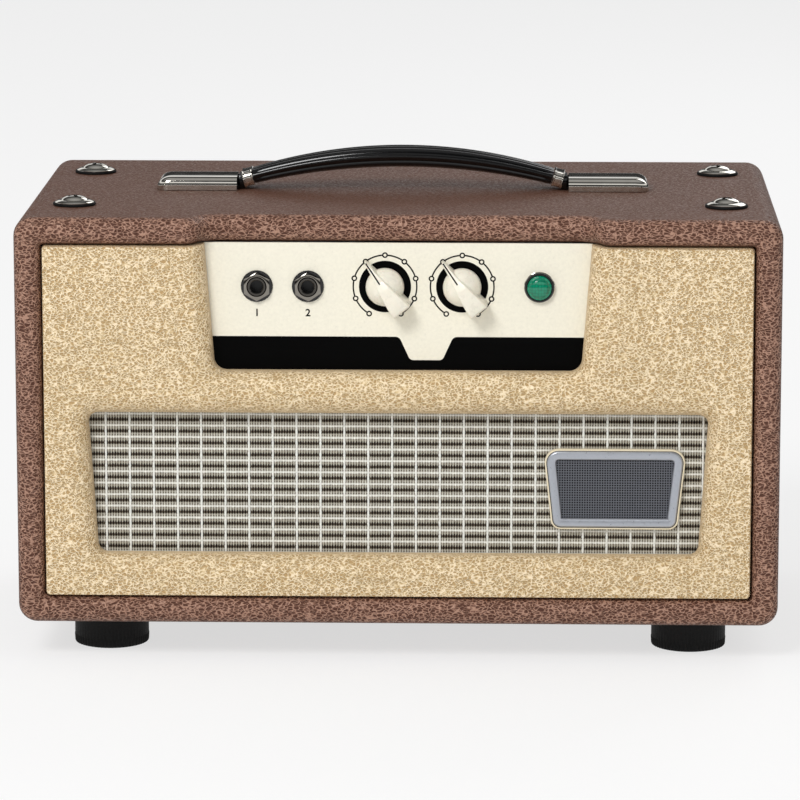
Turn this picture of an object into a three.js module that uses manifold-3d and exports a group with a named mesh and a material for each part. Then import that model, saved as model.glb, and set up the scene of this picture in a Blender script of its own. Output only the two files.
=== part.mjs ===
// A small valve guitar amplifier head: a vinyl-covered box with a moulded top handle, a recessed
// control panel, a cloth grille, and a steel chassis that hangs from the top board with the valves
// and transformers below it. Millimetres, +Z up, the front faces -Y, and the origin is on the floor
// under the middle of the cabinet.

import * as THREE from "three";
import { mergeVertices } from "three/addons/utils/BufferGeometryUtils.js";
import Module from "manifold-3d";

const wasm = await Module();
wasm.setup();

// ---------------------------------------------------------------- driving dimensions

// Gaps
const SEAM = 0.3; // between pieces that touch on the real object
const FREE = 0.5; // round a piece that lifts or slides

// Fineness of round outlines
const ARC_STEP = Math.PI / 8;
const ROUND = 12; // sides of a round piece and of the hole it goes in

// Cabinet
const CABINET_WIDTH = 382;
const CABINET_DEPTH = 219;
const CABINET_HEIGHT = 206; // without the feet
const BOARD = 13.5; // plywood with its vinyl
const LONG_EDGE_R = 9.5; // the four edges that run front to back
const END_EDGE_R = 6; // round the front and the rear
const SCOOP_DEPTH = 13; // how far the top board is cut back above the control panel
const SCOOP_HALF = 101; // half width of the scoop at the front plane
const SCOOP_OUTER_R = 7;
const SCOOP_INNER_R = 5;

// Feet
const FOOT_HEIGHT = 19;
const FOOT_R = 19.25;
const FOOT_SIDE_INSET = 43.5; // centre to the cabinet's side
const FOOT_END_INSET = 43.5; // centre to the front or the rear plane
const FOOT_BORE_R = 7;
const FOOT_BORE_DEPTH = 12;

// Baffle, cloth and badge
const BAFFLE = 13;
const BAFFLE_INSET = 1.5; // behind the front plane
const ROLL_R = 11; // rolled edges of the two openings
const RECESS_TOP_HALF = 96.6;
const RECESS_BOTTOM_HALF = 91.5;
const RECESS_DROP = 78; // bottom of the control panel's window, below the cabinet's top
const RECESS_CORNER_R = 6.5;
const GRILLE_SIDE_INSET = 35.5; // top corners of the grille's window to the cabinet's side
const GRILLE_SLANT = 4.7; // bottom corners, further in
const GRILLE_TOP_DROP = 99.5; // below the cabinet's top
const GRILLE_RISE = 34.5; // above the cabinet's underside
const GRILLE_CORNER_R = 5;
const CLOTH = 1.2;
const CLOTH_MARGIN = 9; // cloth behind the baffle, all round the opening
const BADGE_WIDTH = 72;
const BADGE_HEIGHT = 41;
const BADGE = 3;
const BADGE_INSET = 46.7; // centre to the top corner of the grille's window
const BADGE_DROP = 138; // centre below the cabinet's top

// Back panel
const BACK_PANEL = 9;
const BACK_INSET = 4.5;
const VENT_COUNT = 7;
const VENT_PITCH = 26;
const VENT_WIDTH = 12;
const VENT_HEIGHT = 50;

// Chassis and control panel
const SHEET = 1.5;
const CHASSIS_HEIGHT = 70;
const CHASSIS_END_GAP = 27.5; // side wall to the inside of the cabinet
const FLANGE_GAP = 3.5; // flange edge to the inside of the cabinet
const FLANGE_SHORT = 12; // flange ends, short of the chassis walls
const REAR_PANEL_INSET = 16.6; // chassis rear face, in front of the rear plane
const PANEL = 1.5;
const PANEL_MARGIN = 6; // control panel beyond its window
const CONTROL_DROP = 35.8; // the control row, below the cabinet's top
const REAR_ROW_DROP = 49; // the rear row, below the cabinet's top

// Chassis bolts
const BOLT_SIDE_INSET = 26.6;
const BOLT_FRONT_INSET = 47.5;
const BOLT_REAR_INSET = 53.5;
const BOLT_R = 2.4;
const BOLT_HEAD_R = 6.4;
const BOLT_LENGTH = 21; // below the cabinet's top
const CUP_R = 10.5;
const CUP_HEIGHT = 2.6;
const CUP_SEAT_R = 6.8;
const WELD_NUT = 11;
const WELD_NUT_HEIGHT = 4;

// Handle
const HANDLE_Y = 2;
const HANDLE_LIFT = 3; // play of the strap under the roofs of the end caps
const GRIP_HALF = 77; // half length between the ferrules
const GRIP_END_RISE = 6.2; // centre line above the cabinet's top, at a ferrule
const GRIP_MID_RISE = 16.6; // the same, in the middle
const GRIP_END_THICK = 7.8;
const GRIP_MID_THICK = 10.6;
const GRIP_END_WIDTH = 19.5;
const GRIP_MID_WIDTH = 24;
const FERRULE_LENGTH = 5.5;
const FERRULE_HEIGHT = 8.4;
const FERRULE_WIDTH = 20.4;
const CORE_THICK = 4.6;
const STRAP_WIDTH = 15;
const STRAP = 1.6;
const STRAP_REACH = 28.5; // into the end cap
const STRAP_SLOT_HALF = 6; // half length of the slot round the cap's post
const CAP_GAP = 2.7; // ferrule to end cap
const CAP_LENGTH = 41.5;
const CAP_WIDTH = 27;
const CAP_WALL = 1.4;
const CAP_SLOPE = 11; // length of the sloping outer end
const CAP_POST_R = 3.6;
const CAP_POST_IN = 19.5; // post from the cap's inner end
const HANDLE_BOLT_R = 2;
const HANDLE_BOLT_HEAD_R = 5;
const HANDLE_BOLT_HEAD = 3;

// Front controls, measured from the middle of the panel
const INPUT_X = [-70.5, -45];
const VOLUME_X = -6.5;
const TONE_X = 32;
const PILOT_X = 70.5;

// Jacks
const JACK_BORE_R = 3.3;
const JACK_BUSH_R = 4.7;
const JACK_BUSH_OUT = 3.4; // in front of the panel's face
const JACK_BODY = 19;
const JACK_DEPTH = 24;
const NUT_FLATS = 12.7;
const NUT_HEIGHT = 2;
const WASHER_R = 7.95;
const WASHER = 0.8;

// Potentiometers and knobs
const POT_R = 12;
const POT_DEPTH = 10;
const POT_BUSH_R = 4.6;
const POT_BUSH_OUT = 2.6;
const SHAFT_R = 3;
const SHAFT_OUT = 10.5;
const KNOB_LIFT = 0.8; // underside above the panel
const KNOB_R = 9.75;
const KNOB_HEIGHT = 13.4;
const KNOB_TIP = 16.2; // pointer tip from the axis
const KNOB_TAIL = 14.6; // tail from the axis
const KNOB_RECESS_R = 7.6;
const KNOB_RECESS = 3.4;
const KNOB_REST = 37.5; // degrees left of upright at rest

// Pilot lamp
const BEZEL_R = 7.5;
const BEZEL_HEIGHT = 2.6;
const JEWEL_R = 6.15;
const JEWEL_HEIGHT = 4.2;
const LAMP_R = 5.6;
const LAMP_DEPTH = 20;

// Rear controls, measured from the middle and to the right as seen from behind
const INLET_END_GAP = 32; // centre to the chassis's end
const FUSE_PITCH = 38; // from the inlet
const SWITCH_PITCH = 28; // from the fuse
const ATTENUATOR_X = 0;
const SPEAKER_END_GAPS = [88, 58];
const INLET_FLANGE = [50, 24, 2.5];
const INLET_BODY = [27, 19.6, 25];
const INLET_SOCKET = [24, 16.4, 18];
const INLET_PIN_LENGTH = 12;
const INLET_PIN_PITCH = 7;
const FUSE_BODY_R = 7;
const FUSE_DEPTH = 32;
const FUSE_BORE_R = 4.6;
const FUSE_FLANGE_R = 9;
const FUSE_FLANGE = 2;
const FUSE_CAP_R = 7.5;
const FUSE_CAP_HEIGHT = 9;
const FUSE_PLUG = 7; // how far the cap reaches into its holder
const FUSE_R = 2.6;
const FUSE_LENGTH = 20;
const FUSE_HELD = 4; // length of fuse inside the cap
const SWITCH_BODY = [14, 28, 22];
const SWITCH_BUSH_R = 5.9;
const SWITCH_BUSH_OUT = 6;
const SWITCH_BORE_R = 3.4;
const LEVER_BALL_R = 3;
const LEVER_R = 1.7;
const LEVER_TIP_R = 2.9;
const LEVER_LENGTH = 15;
const LEVER_THROW = 12; // degrees each side of square
const STEPPER_R = 15;
const STEPPER_DEPTH = 18;

// Valves, measured from the middle to the right as seen from the front
const PREAMP_X = [-58, -22];
const POWER_X = 22;
const VALVE_REAR_GAP = 55; // centre to the chassis's rear
const PREAMP = { r: 11.1, length: 49, socket: 15, cut: 11.4, seat: 5.7 };
const POWER = { r: 16.1, length: 81, socket: 21, cut: 15.4, seat: 6.7 };
const SEAT_RECESS = 3; // how far a valve's base sits in its socket
const SOCKET_TOP = 6; // socket above the chassis floor

// Transformers: centre to the chassis's end and rear; core width, depth, height; winding section
const MAINS_TRANSFORMER = { end: 42, rear: 65, core: [66, 40, 50], coil: [44, 60] };
const OUTPUT_TRANSFORMER = { end: 37, rear: 69, core: [56, 32, 44], coil: [36, 50] };

// Circuit board
const CIRCUIT_END_GAP = 35; // to the chassis's ends
const CIRCUIT_FRONT_GAP = 35;
const CIRCUIT_REAR_GAP = 47;
const CIRCUIT = 1.6;
const STANDOFF = 12;
const STANDOFF_INSET = 7;
const BIG_CAPACITOR = [9, 40];
const SMALL_CAPACITOR = [4, 18];

// ---------------------------------------------------------------- planes worked out from them

const FRONT = -CABINET_DEPTH / 2;
const REAR = CABINET_DEPTH / 2;
const SIDE = CABINET_WIDTH / 2;
const UNDERSIDE = FOOT_HEIGHT;
const TOP = FOOT_HEIGHT + CABINET_HEIGHT;
const INNER_SIDE = SIDE - BOARD;
const INNER_FLOOR = UNDERSIDE + BOARD;
const INNER_TOP = TOP - BOARD;

const BAFFLE_FRONT = FRONT + BAFFLE_INSET;
const BAFFLE_REAR = BAFFLE_FRONT + BAFFLE;
const PANEL_FACE = BAFFLE_REAR + SEAM;
const CHASSIS_FRONT = PANEL_FACE + PANEL + SEAM;
const CHASSIS_REAR = REAR - REAR_PANEL_INSET;
const CHASSIS_TOP = INNER_TOP - SEAM;
const CHASSIS_FLOOR = CHASSIS_TOP - CHASSIS_HEIGHT;
const CHASSIS_HALF = INNER_SIDE - CHASSIS_END_GAP;
const FRONT_STACK = PANEL + SEAM + SHEET; // control panel and chassis wall together
const VALVE_Y = CHASSIS_REAR - VALVE_REAR_GAP;

const ROLL = Math.min(ROLL_R, BAFFLE - SHEET);
const GRILLE_TOP_HALF = SIDE - GRILLE_SIDE_INSET;
const GRILLE_BOTTOM_HALF = GRILLE_TOP_HALF - GRILLE_SLANT;

const CAP_START = GRIP_HALF + SEAM + FERRULE_LENGTH + CAP_GAP;
const CAP_BOLT_X = CAP_START + CAP_POST_IN;
const CAP_ROOF = SEAM + STRAP + HANDLE_LIFT + FREE; // above the strap's bed
const CAP_HEIGHT = CAP_ROOF + CAP_WALL;
const STRAP_END = CAP_START + STRAP_REACH;

const INLET_X = INLET_END_GAP - CHASSIS_HALF;
const FUSE_X = INLET_X + FUSE_PITCH;
const SWITCH_X = FUSE_X + SWITCH_PITCH;
const SPEAKER_X = SPEAKER_END_GAPS.map((gap) => CHASSIS_HALF - gap);

const COVER = new THREE.MeshStandardMaterial({ color: 0x73554b, roughness: 0.6 });
const CREAM = new THREE.MeshStandardMaterial({ color: 0xead2a4, roughness: 0.65 });
const CLOTH_SILVER = new THREE.MeshStandardMaterial({ color: 0xa9a797, roughness: 0.9 });
const IVORY = new THREE.MeshStandardMaterial({ color: 0xf2ecdb, roughness: 0.35 });
const CHROME = new THREE.MeshStandardMaterial({ color: 0xc9c9c9, roughness: 0.12, metalness: 1 });
const NICKEL = new THREE.MeshStandardMaterial({ color: 0xb4b4b0, roughness: 0.3, metalness: 1 });
const STEEL = new THREE.MeshStandardMaterial({ color: 0x8f9296, roughness: 0.4, metalness: 0.8 });
const IRON = new THREE.MeshStandardMaterial({ color: 0x24262a, roughness: 0.5, metalness: 0.4 });
const RUBBER = new THREE.MeshStandardMaterial({ color: 0x161616, roughness: 0.8 });
const BLACK = new THREE.MeshStandardMaterial({ color: 0x1b1b1b, roughness: 0.4 });
const GREEN = new THREE.MeshStandardMaterial({ color: 0x00805f, roughness: 0.1 });
const GLASS = new THREE.MeshStandardMaterial({
  color: 0xdfe8e8,
  roughness: 0.05,
  transparent: true,
  opacity: 0.35,
});
const LAMINATE = new THREE.MeshStandardMaterial({ color: 0x2f6b45, roughness: 0.5 });

// ---------------------------------------------------------------- solids

// A closed three.js geometry as a solid that can be joined and cut.
function solid(geometry) {
  const bare = geometry.index ? geometry.toNonIndexed() : geometry.clone();
  bare.deleteAttribute("normal");
  bare.deleteAttribute("uv");
  const merged = mergeVertices(bare, 1e-4);
  const corners = [];
  for (let i = 0; i < merged.index.count; i += 3) {
    const [a, b, c] = [0, 1, 2].map((k) => merged.index.getX(i + k));
    if (a !== b && b !== c && c !== a) corners.push(a, b, c);
  }
  const mesh = new wasm.Mesh({
    numProp: 3,
    vertProperties: merged.attributes.position.array,
    triVerts: new Uint32Array(corners),
  });
  return new wasm.Manifold(mesh);
}

function join(first, ...others) {
  return others.reduce((sum, other) => sum.add(other), first);
}

function cut(first, ...others) {
  return others.reduce((rest, other) => rest.subtract(other), first);
}

function block(x0, x1, y0, y1, z0, z1) {
  const box = new THREE.BoxGeometry(x1 - x0, y1 - y0, z1 - z0);
  return solid(box.translate((x0 + x1) / 2, (y0 + y1) / 2, (z0 + z1) / 2));
}

// A block of [width, height, depth] on the axis of a panel's frame, between two depths.
function plate(width, height, z0, z1, x = 0, y = 0) {
  return block(x - width / 2, x + width / 2, y - height / 2, y + height / 2, z0, z1);
}

function rod(r, z0, z1, x = 0, y = 0, sides = ROUND) {
  const cylinder = new THREE.CylinderGeometry(r, r, z1 - z0, sides);
  return solid(cylinder.rotateX(Math.PI / 2).translate(x, y, (z0 + z1) / 2));
}

// A rod with flat sides, given by its width across the flats.
function hexagon(flats, z0, z1) {
  return rod(flats / Math.sqrt(3), z0, z1, 0, 0, 6);
}

// [radius, height] points from the bottom of the axis round the outside to its top, turned about Z.
function turned(profile, sides = ROUND) {
  const points = profile.map(([r, z]) => new THREE.Vector2(r, z));
  return solid(new THREE.LatheGeometry(points, sides).rotateX(Math.PI / 2));
}

// A closed outline through the corners, each rounded to its radius with a true arc.
function outline(corners) {
  const points = corners.flatMap(([x, y, r], i) => {
    const corner = new THREE.Vector2(x, y);
    if (!r) return [corner];
    const before = new THREE.Vector2(...corners.at(i - 1)).sub(corner).normalize();
    const after = new THREE.Vector2(...corners[(i + 1) % corners.length]).sub(corner).normalize();
    const half = Math.acos(before.dot(after)) / 2;
    const sweep = Math.sign(after.cross(before)) * (Math.PI - 2 * half);
    const middle = before.clone().add(after).setLength(r / Math.sin(half)).add(corner);
    const start = before.setLength(r / Math.tan(half)).add(corner).sub(middle);
    const steps = Math.ceil(Math.abs(sweep) / ARC_STEP);
    return Array.from({ length: steps + 1 }, (_, k) =>
      start.clone().rotateAround(new THREE.Vector2(), (sweep * k) / steps).add(middle),
    );
  });
  return new THREE.Shape(points);
}

// An outline extruded along Z between two heights. A roll widens both ends by a quarter round.
function prism(shape, z0, z1, { bevel = 0, roll = 0, segments = 3 } = {}) {
  const edge = bevel + roll;
  const geometry = new THREE.ExtrudeGeometry(shape, {
    depth: z1 - z0 - 2 * edge,
    bevelEnabled: edge > 0,
    bevelThickness: edge,
    bevelSize: bevel - roll,
    bevelOffset: roll - bevel,
    bevelSegments: segments,
  });
  return solid(geometry.translate(0, 0, z0 + edge));
}

// The same, with the outline drawn in X and Z and extruded along Y.
function prismY(shape, y0, y1, options) {
  return prism(shape, -y1, -y0, options).rotate([90, 0, 0]);
}

function geometryOf(shape) {
  const mesh = shape.getMesh();
  const geometry = new THREE.BufferGeometry();
  geometry.setAttribute("position", new THREE.BufferAttribute(mesh.vertProperties, 3));
  geometry.setIndex(new THREE.BufferAttribute(mesh.triVerts, 1));
  geometry.computeVertexNormals();
  return geometry;
}

// ---------------------------------------------------------------- scene graph

const amplifier = new THREE.Group();

function piece(parent, name, shape, material, position = [0, 0, 0], turn = 0) {
  const mesh = new THREE.Mesh(geometryOf(shape), material);
  mesh.name = name;
  mesh.position.set(...position);
  mesh.rotation.z = turn;
  parent.add(mesh);
  return mesh;
}

function group(parent, position = [0, 0, 0], rotation = [0, 0, 0]) {
  const made = new THREE.Group();
  made.position.set(...position);
  made.rotation.set(...rotation);
  parent.add(made);
  return made;
}

// The two control rows. In each, +Z looks out of the panel from its face and +Y is up.
const frontRow = group(amplifier, [0, PANEL_FACE, TOP - CONTROL_DROP], [Math.PI / 2, 0, 0]);
const rearSide = group(amplifier, [0, CHASSIS_REAR, TOP - REAR_ROW_DROP], [0, 0, Math.PI]);
const rearRow = group(rearSide, [0, 0, 0], [Math.PI / 2, 0, 0]);

// ---------------------------------------------------------------- cabinet

const boltSpots = [FRONT + BOLT_FRONT_INSET, REAR - BOLT_REAR_INSET].flatMap((y) =>
  [-1, 1].map((side) => [side * (SIDE - BOLT_SIDE_INSET), y]),
);

// The whole box, rounded outside, from which the four boards are cut.
function roundedBox() {
  const face = outline([
    [-SIDE, UNDERSIDE, LONG_EDGE_R],
    [SIDE, UNDERSIDE, LONG_EDGE_R],
    [SIDE, TOP, LONG_EDGE_R],
    [-SIDE, TOP, LONG_EDGE_R],
  ]);
  return prismY(face, FRONT, REAR, { bevel: END_EDGE_R });
}

// What the top board keeps: everything but the scoop, whose upper edge is rounded like the front.
function scoopedPlan() {
  const wide = SIDE + BOARD;
  const deep = REAR + BOARD;
  const back = FRONT + SCOOP_DEPTH;
  const ahead = FRONT - BOARD;
  const plan = outline([
    [-wide, ahead],
    [-SCOOP_HALF, ahead],
    [-SCOOP_HALF, FRONT, SCOOP_OUTER_R],
    [-SCOOP_HALF + SCOOP_OUTER_R, back, SCOOP_INNER_R],
    [SCOOP_HALF - SCOOP_OUTER_R, back, SCOOP_INNER_R],
    [SCOOP_HALF, FRONT, SCOOP_OUTER_R],
    [SCOOP_HALF, ahead],
    [wide, ahead],
    [wide, deep],
    [-wide, deep],
  ]);
  return prism(plan, INNER_TOP - BOARD, TOP, { bevel: END_EDGE_R });
}

function boards() {
  const whole = roundedBox();
  const slab = (z0, z1) => whole.intersect(block(-SIDE, SIDE, FRONT, REAR, z0, z1));
  const top = cut(
    slab(INNER_TOP, TOP).intersect(scoopedPlan()),
    ...boltSpots.map(([x, y]) => rod(BOLT_R + SEAM, INNER_TOP - 1, TOP + 1, x, y)),
    ...[-1, 1].map((side) =>
      rod(HANDLE_BOLT_R + SEAM, INNER_TOP - 1, TOP + 1, side * CAP_BOLT_X, HANDLE_Y),
    ),
  );
  const sides = slab(INNER_FLOOR + SEAM, INNER_TOP - SEAM);
  piece(amplifier, "top_board", top, COVER);
  piece(amplifier, "bottom_board", slab(UNDERSIDE, INNER_FLOOR), COVER);
  piece(amplifier, "left_side_board", sides.intersect(sideSpace(-SIDE, -INNER_SIDE)), COVER);
  piece(amplifier, "right_side_board", sides.intersect(sideSpace(INNER_SIDE, SIDE)), COVER);
}

function sideSpace(x0, x1) {
  return block(x0, x1, FRONT, REAR, UNDERSIDE, TOP);
}

// The window over the control panel. It opens upwards, into the scoop.
function recessWindow() {
  const bottom = TOP - RECESS_DROP;
  const slant = (RECESS_TOP_HALF - RECESS_BOTTOM_HALF) / (INNER_TOP - bottom);
  const topHalf = RECESS_BOTTOM_HALF + slant * (TOP + BOARD - bottom);
  return outline([
    [-RECESS_BOTTOM_HALF, bottom, RECESS_CORNER_R],
    [RECESS_BOTTOM_HALF, bottom, RECESS_CORNER_R],
    [topHalf, TOP + BOARD],
    [-topHalf, TOP + BOARD],
  ]);
}

function grilleWindow() {
  return outline([
    [-GRILLE_BOTTOM_HALF, UNDERSIDE + GRILLE_RISE, GRILLE_CORNER_R],
    [GRILLE_BOTTOM_HALF, UNDERSIDE + GRILLE_RISE, GRILLE_CORNER_R],
    [GRILLE_TOP_HALF, TOP - GRILLE_TOP_DROP, GRILLE_CORNER_R],
    [-GRILLE_TOP_HALF, TOP - GRILLE_TOP_DROP, GRILLE_CORNER_R],
  ]);
}

function baffle() {
  const half = INNER_SIDE - SEAM;
  const board = block(-half, half, BAFFLE_FRONT, BAFFLE_REAR, INNER_FLOOR + SEAM, INNER_TOP - SEAM);
  const roll = { roll: ROLL, segments: 4 };
  const deep = BAFFLE_REAR + 2 * ROLL;
  const shape = cut(
    board,
    prismY(recessWindow(), BAFFLE_FRONT, deep, roll),
    prismY(grilleWindow(), BAFFLE_FRONT, deep, roll),
  );
  piece(amplifier, "baffle_board", shape, CREAM);
}

function clothAndBadge() {
  const half = GRILLE_TOP_HALF + CLOTH_MARGIN;
  const bottom = UNDERSIDE + GRILLE_RISE - CLOTH_MARGIN;
  const top = TOP - GRILLE_TOP_DROP + CLOTH_MARGIN;
  const cloth = block(-half, half, PANEL_FACE, PANEL_FACE + CLOTH, bottom, top);
  piece(amplifier, "grille_cloth", cloth, CLOTH_SILVER);
  const plateShape = outline([
    [-BADGE_WIDTH / 2, -BADGE_HEIGHT / 2, 6],
    [BADGE_WIDTH / 2, -BADGE_HEIGHT / 2, 6],
    [BADGE_WIDTH / 2, BADGE_HEIGHT / 2, 6],
    [-BADGE_WIDTH / 2, BADGE_HEIGHT / 2, 6],
  ]);
  const badge = prismY(plateShape, -BADGE, 0, { bevel: 0.6, segments: 1 });
  const place = [GRILLE_TOP_HALF - BADGE_INSET, PANEL_FACE - SEAM, TOP - BADGE_DROP];
  piece(amplifier, "badge_plate", badge, NICKEL, place);
}

function backPanel() {
  const half = INNER_SIDE - SEAM;
  const y1 = REAR - BACK_INSET;
  const y0 = y1 - BACK_PANEL;
  const bottom = INNER_FLOOR + SEAM;
  const top = CHASSIS_FLOOR - 2 * SEAM;
  const middle = (bottom + top) / 2;
  const vents = Array.from({ length: VENT_COUNT }, (_, i) => {
    const x = (i - (VENT_COUNT - 1) / 2) * VENT_PITCH;
    const corner = VENT_WIDTH * 0.45;
    const slot = outline([
      [x - VENT_WIDTH / 2, middle - VENT_HEIGHT / 2, corner],
      [x + VENT_WIDTH / 2, middle - VENT_HEIGHT / 2, corner],
      [x + VENT_WIDTH / 2, middle + VENT_HEIGHT / 2, corner],
      [x - VENT_WIDTH / 2, middle + VENT_HEIGHT / 2, corner],
    ]);
    return prismY(slot, y0 - 1, y1 + 1);
  });
  piece(amplifier, "back_panel", cut(block(-half, half, y0, y1, bottom, top), ...vents), COVER);
}

function feet() {
  const height = FOOT_HEIGHT - SEAM;
  const foot = turned([
    [0, FOOT_BORE_DEPTH],
    [FOOT_BORE_R, FOOT_BORE_DEPTH],
    [FOOT_BORE_R, 0],
    [FOOT_R - 1.6, 0],
    [FOOT_R - 0.5, 1.2],
    [FOOT_R, height - 2.2],
    [FOOT_R - 0.6, height],
    [0, height],
  ]);
  let count = 0;
  for (const y of [FRONT + FOOT_END_INSET, REAR - FOOT_END_INSET])
    for (const x of [-SIDE + FOOT_SIDE_INSET, SIDE - FOOT_SIDE_INSET]) {
      count += 1;
      piece(amplifier, "foot_" + count, foot, RUBBER, [x, y, 0]);
    }
}

function chassisBolts() {
  const cup = turned([
    [BOLT_R + SEAM, 0],
    [CUP_R, 0],
    [CUP_R, 0.6],
    [CUP_R - 1.4, 1.5],
    [CUP_SEAT_R + 0.9, CUP_HEIGHT],
    [CUP_SEAT_R, CUP_HEIGHT],
    [CUP_SEAT_R - 1.2, 1],
    [BOLT_R + SEAM, 1],
    [BOLT_R + SEAM, 0],
  ]);
  const rest = 1 + SEAM;
  const crown = 4.6;
  const bolt = turned([
    [0, -BOLT_LENGTH],
    [BOLT_R, -BOLT_LENGTH],
    [BOLT_R, rest],
    [CUP_SEAT_R - 1.5, rest],
    [BOLT_HEAD_R, CUP_HEIGHT + SEAM],
    [BOLT_HEAD_R * 0.8, crown - 0.5],
    [BOLT_HEAD_R * 0.45, crown],
    [0, crown + 0.2],
  ]);
  boltSpots.forEach(([x, y], i) => {
    piece(amplifier, "cup_washer_" + (i + 1), cup, CHROME, [x, y, TOP + SEAM]);
    piece(amplifier, "chassis_bolt_" + (i + 1), bolt, CHROME, [x, y, TOP + SEAM]);
  });
}

// ---------------------------------------------------------------- handle

// Centre line of the grip: a circular arc through its two ends and its middle.
const GRIP_SAG = GRIP_MID_RISE - GRIP_END_RISE;
const GRIP_R = (GRIP_HALF ** 2 + GRIP_SAG ** 2) / (2 * GRIP_SAG);
const GRIP_END_ANGLE = Math.asin(GRIP_HALF / GRIP_R);

function gripPoint(share, offset) {
  const angle = share * GRIP_END_ANGLE;
  const r = GRIP_R + offset;
  return [r * Math.sin(angle), GRIP_MID_RISE - GRIP_R + r * Math.cos(angle)];
}

function gripArch() {
  const steps = 12;
  const shares = Array.from({ length: steps + 1 }, (_, i) => (2 * i) / steps - 1);
  const half = (share) =>
    (GRIP_MID_THICK + (GRIP_END_THICK - GRIP_MID_THICK) * share ** 2) / 2;
  const below = shares.map((share) => gripPoint(share, -half(share)));
  const above = shares.map((share) => gripPoint(share, half(share))).reverse();
  const band = prismY(outline([...below, ...above]), -GRIP_MID_WIDTH / 2, GRIP_MID_WIDTH / 2, {
    bevel: 2.5,
    segments: 2,
  });
  const ends = [GRIP_HALF + GRIP_END_THICK, GRIP_END_WIDTH / 2];
  const taper = outline([
    [-ends[0], -ends[1]],
    [0, -GRIP_MID_WIDTH / 2, 4 * GRIP_HALF],
    [ends[0], -ends[1]],
    [ends[0], ends[1]],
    [0, GRIP_MID_WIDTH / 2, 4 * GRIP_HALF],
    [-ends[0], ends[1]],
  ]);
  return band.intersect(prism(taper, 0, GRIP_MID_RISE + GRIP_MID_THICK));
}

// Something centred on the core that runs through one ferrule, along the arc's end tangent.
function atFerrule(shape, side) {
  const reach = SEAM + FERRULE_LENGTH / 2;
  const x = GRIP_HALF + reach * Math.cos(GRIP_END_ANGLE);
  const z = GRIP_END_RISE - reach * Math.sin(GRIP_END_ANGLE);
  const degrees = THREE.MathUtils.radToDeg(GRIP_END_ANGLE);
  return shape.rotate([0, side * degrees, 0]).translate([side * x, 0, z]);
}

function strapEnd(side) {
  const neck = CAP_START - FREE;
  const inner = neck - 2.4;
  const low = SEAM;
  const span = (x0, x1) => [Math.min(side * x0, side * x1), Math.max(side * x0, side * x1)];
  const half = STRAP_WIDTH / 2;
  const core = plate(FERRULE_LENGTH + 4, STRAP_WIDTH, -CORE_THICK / 2, CORE_THICK / 2);
  const strap = block(...span(inner, STRAP_END), -half, half, low, low + STRAP);
  const slotHalf = CAP_POST_R + FREE;
  const slot = block(
    ...span(CAP_BOLT_X - STRAP_SLOT_HALF, CAP_BOLT_X + STRAP_SLOT_HALF),
    -slotHalf,
    slotHalf,
    low - 1,
    low + STRAP + 1,
  );
  const drop = block(...span(inner, neck), -half, half, low, GRIP_END_RISE);
  return join(cut(strap, slot), drop, atFerrule(core, side));
}

// The chrome sleeve over each end of the grip.
function ferrule() {
  const ring = outline([
    [-FERRULE_WIDTH / 2, -FERRULE_HEIGHT / 2, 2.6],
    [FERRULE_WIDTH / 2, -FERRULE_HEIGHT / 2, 2.6],
    [FERRULE_WIDTH / 2, FERRULE_HEIGHT / 2, 2.6],
    [-FERRULE_WIDTH / 2, FERRULE_HEIGHT / 2, 2.6],
  ]);
  const half = FERRULE_LENGTH / 2;
  const body = prism(ring, -half, half, { bevel: 0.5, segments: 1 });
  const hole = plate(STRAP_WIDTH + 2 * SEAM, CORE_THICK + 2 * SEAM, -half - 1, half + 1);
  return cut(body, hole).rotate([90, 0, 90]);
}

// An end cap: a pressed shell over the strap's end, held down by a post with the bolt in it.
function endCap(side) {
  const end = CAP_START + CAP_LENGTH;
  const profile = outline([
    [CAP_START, 0],
    [end, 0],
    [end, 1.2],
    [end - CAP_SLOPE, CAP_HEIGHT, 3],
    [CAP_START, CAP_HEIGHT],
  ]);
  const shell = prismY(profile, -CAP_WIDTH / 2, CAP_WIDTH / 2);
  const rounded = prism(
    outline([
      [CAP_START - 5, -CAP_WIDTH / 2, 4],
      [end, -CAP_WIDTH / 2, 4],
      [end, CAP_WIDTH / 2, 4],
      [CAP_START - 5, CAP_WIDTH / 2, 4],
    ]),
    -CAP_HEIGHT,
    CAP_HEIGHT,
    { bevel: 1.8 },
  );
  const half = STRAP_WIDTH / 2 + 2 * FREE;
  const pocket = block(CAP_START - 1, STRAP_END + 2 * FREE, -half, half, -1, CAP_ROOF);
  const post = rod(CAP_POST_R, 0, CAP_HEIGHT - 0.5, CAP_BOLT_X);
  const thread = rod(HANDLE_BOLT_R + SEAM, -1, CAP_ROOF, CAP_BOLT_X);
  const cap = cut(join(cut(shell.intersect(rounded), pocket), post), thread);
  return side < 0 ? cap.rotate([0, 0, 180]) : cap;
}

function handleBolt() {
  const top = BOARD + CAP_ROOF - SEAM;
  return turned([
    [0, -HANDLE_BOLT_HEAD - SEAM],
    [HANDLE_BOLT_HEAD_R, -HANDLE_BOLT_HEAD - SEAM],
    [HANDLE_BOLT_HEAD_R, -SEAM],
    [HANDLE_BOLT_R, -SEAM],
    [HANDLE_BOLT_R, top],
    [0, top],
  ]);
}

function handle() {
  const base = group(amplifier, [0, HANDLE_Y, TOP + SEAM]);
  piece(base, "handle_grip", join(gripArch(), strapEnd(-1), strapEnd(1)), RUBBER);
  for (const [name, side] of [["left", -1], ["right", 1]]) {
    piece(base, name + "_ferrule", atFerrule(ferrule(), side), CHROME);
    piece(base, name + "_end_cap", endCap(side), CHROME);
    const under = [side * CAP_BOLT_X, HANDLE_Y, INNER_TOP];
    piece(amplifier, name + "_handle_bolt", handleBolt(), STEEL, under);
  }
}

// ---------------------------------------------------------------- chassis

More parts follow.
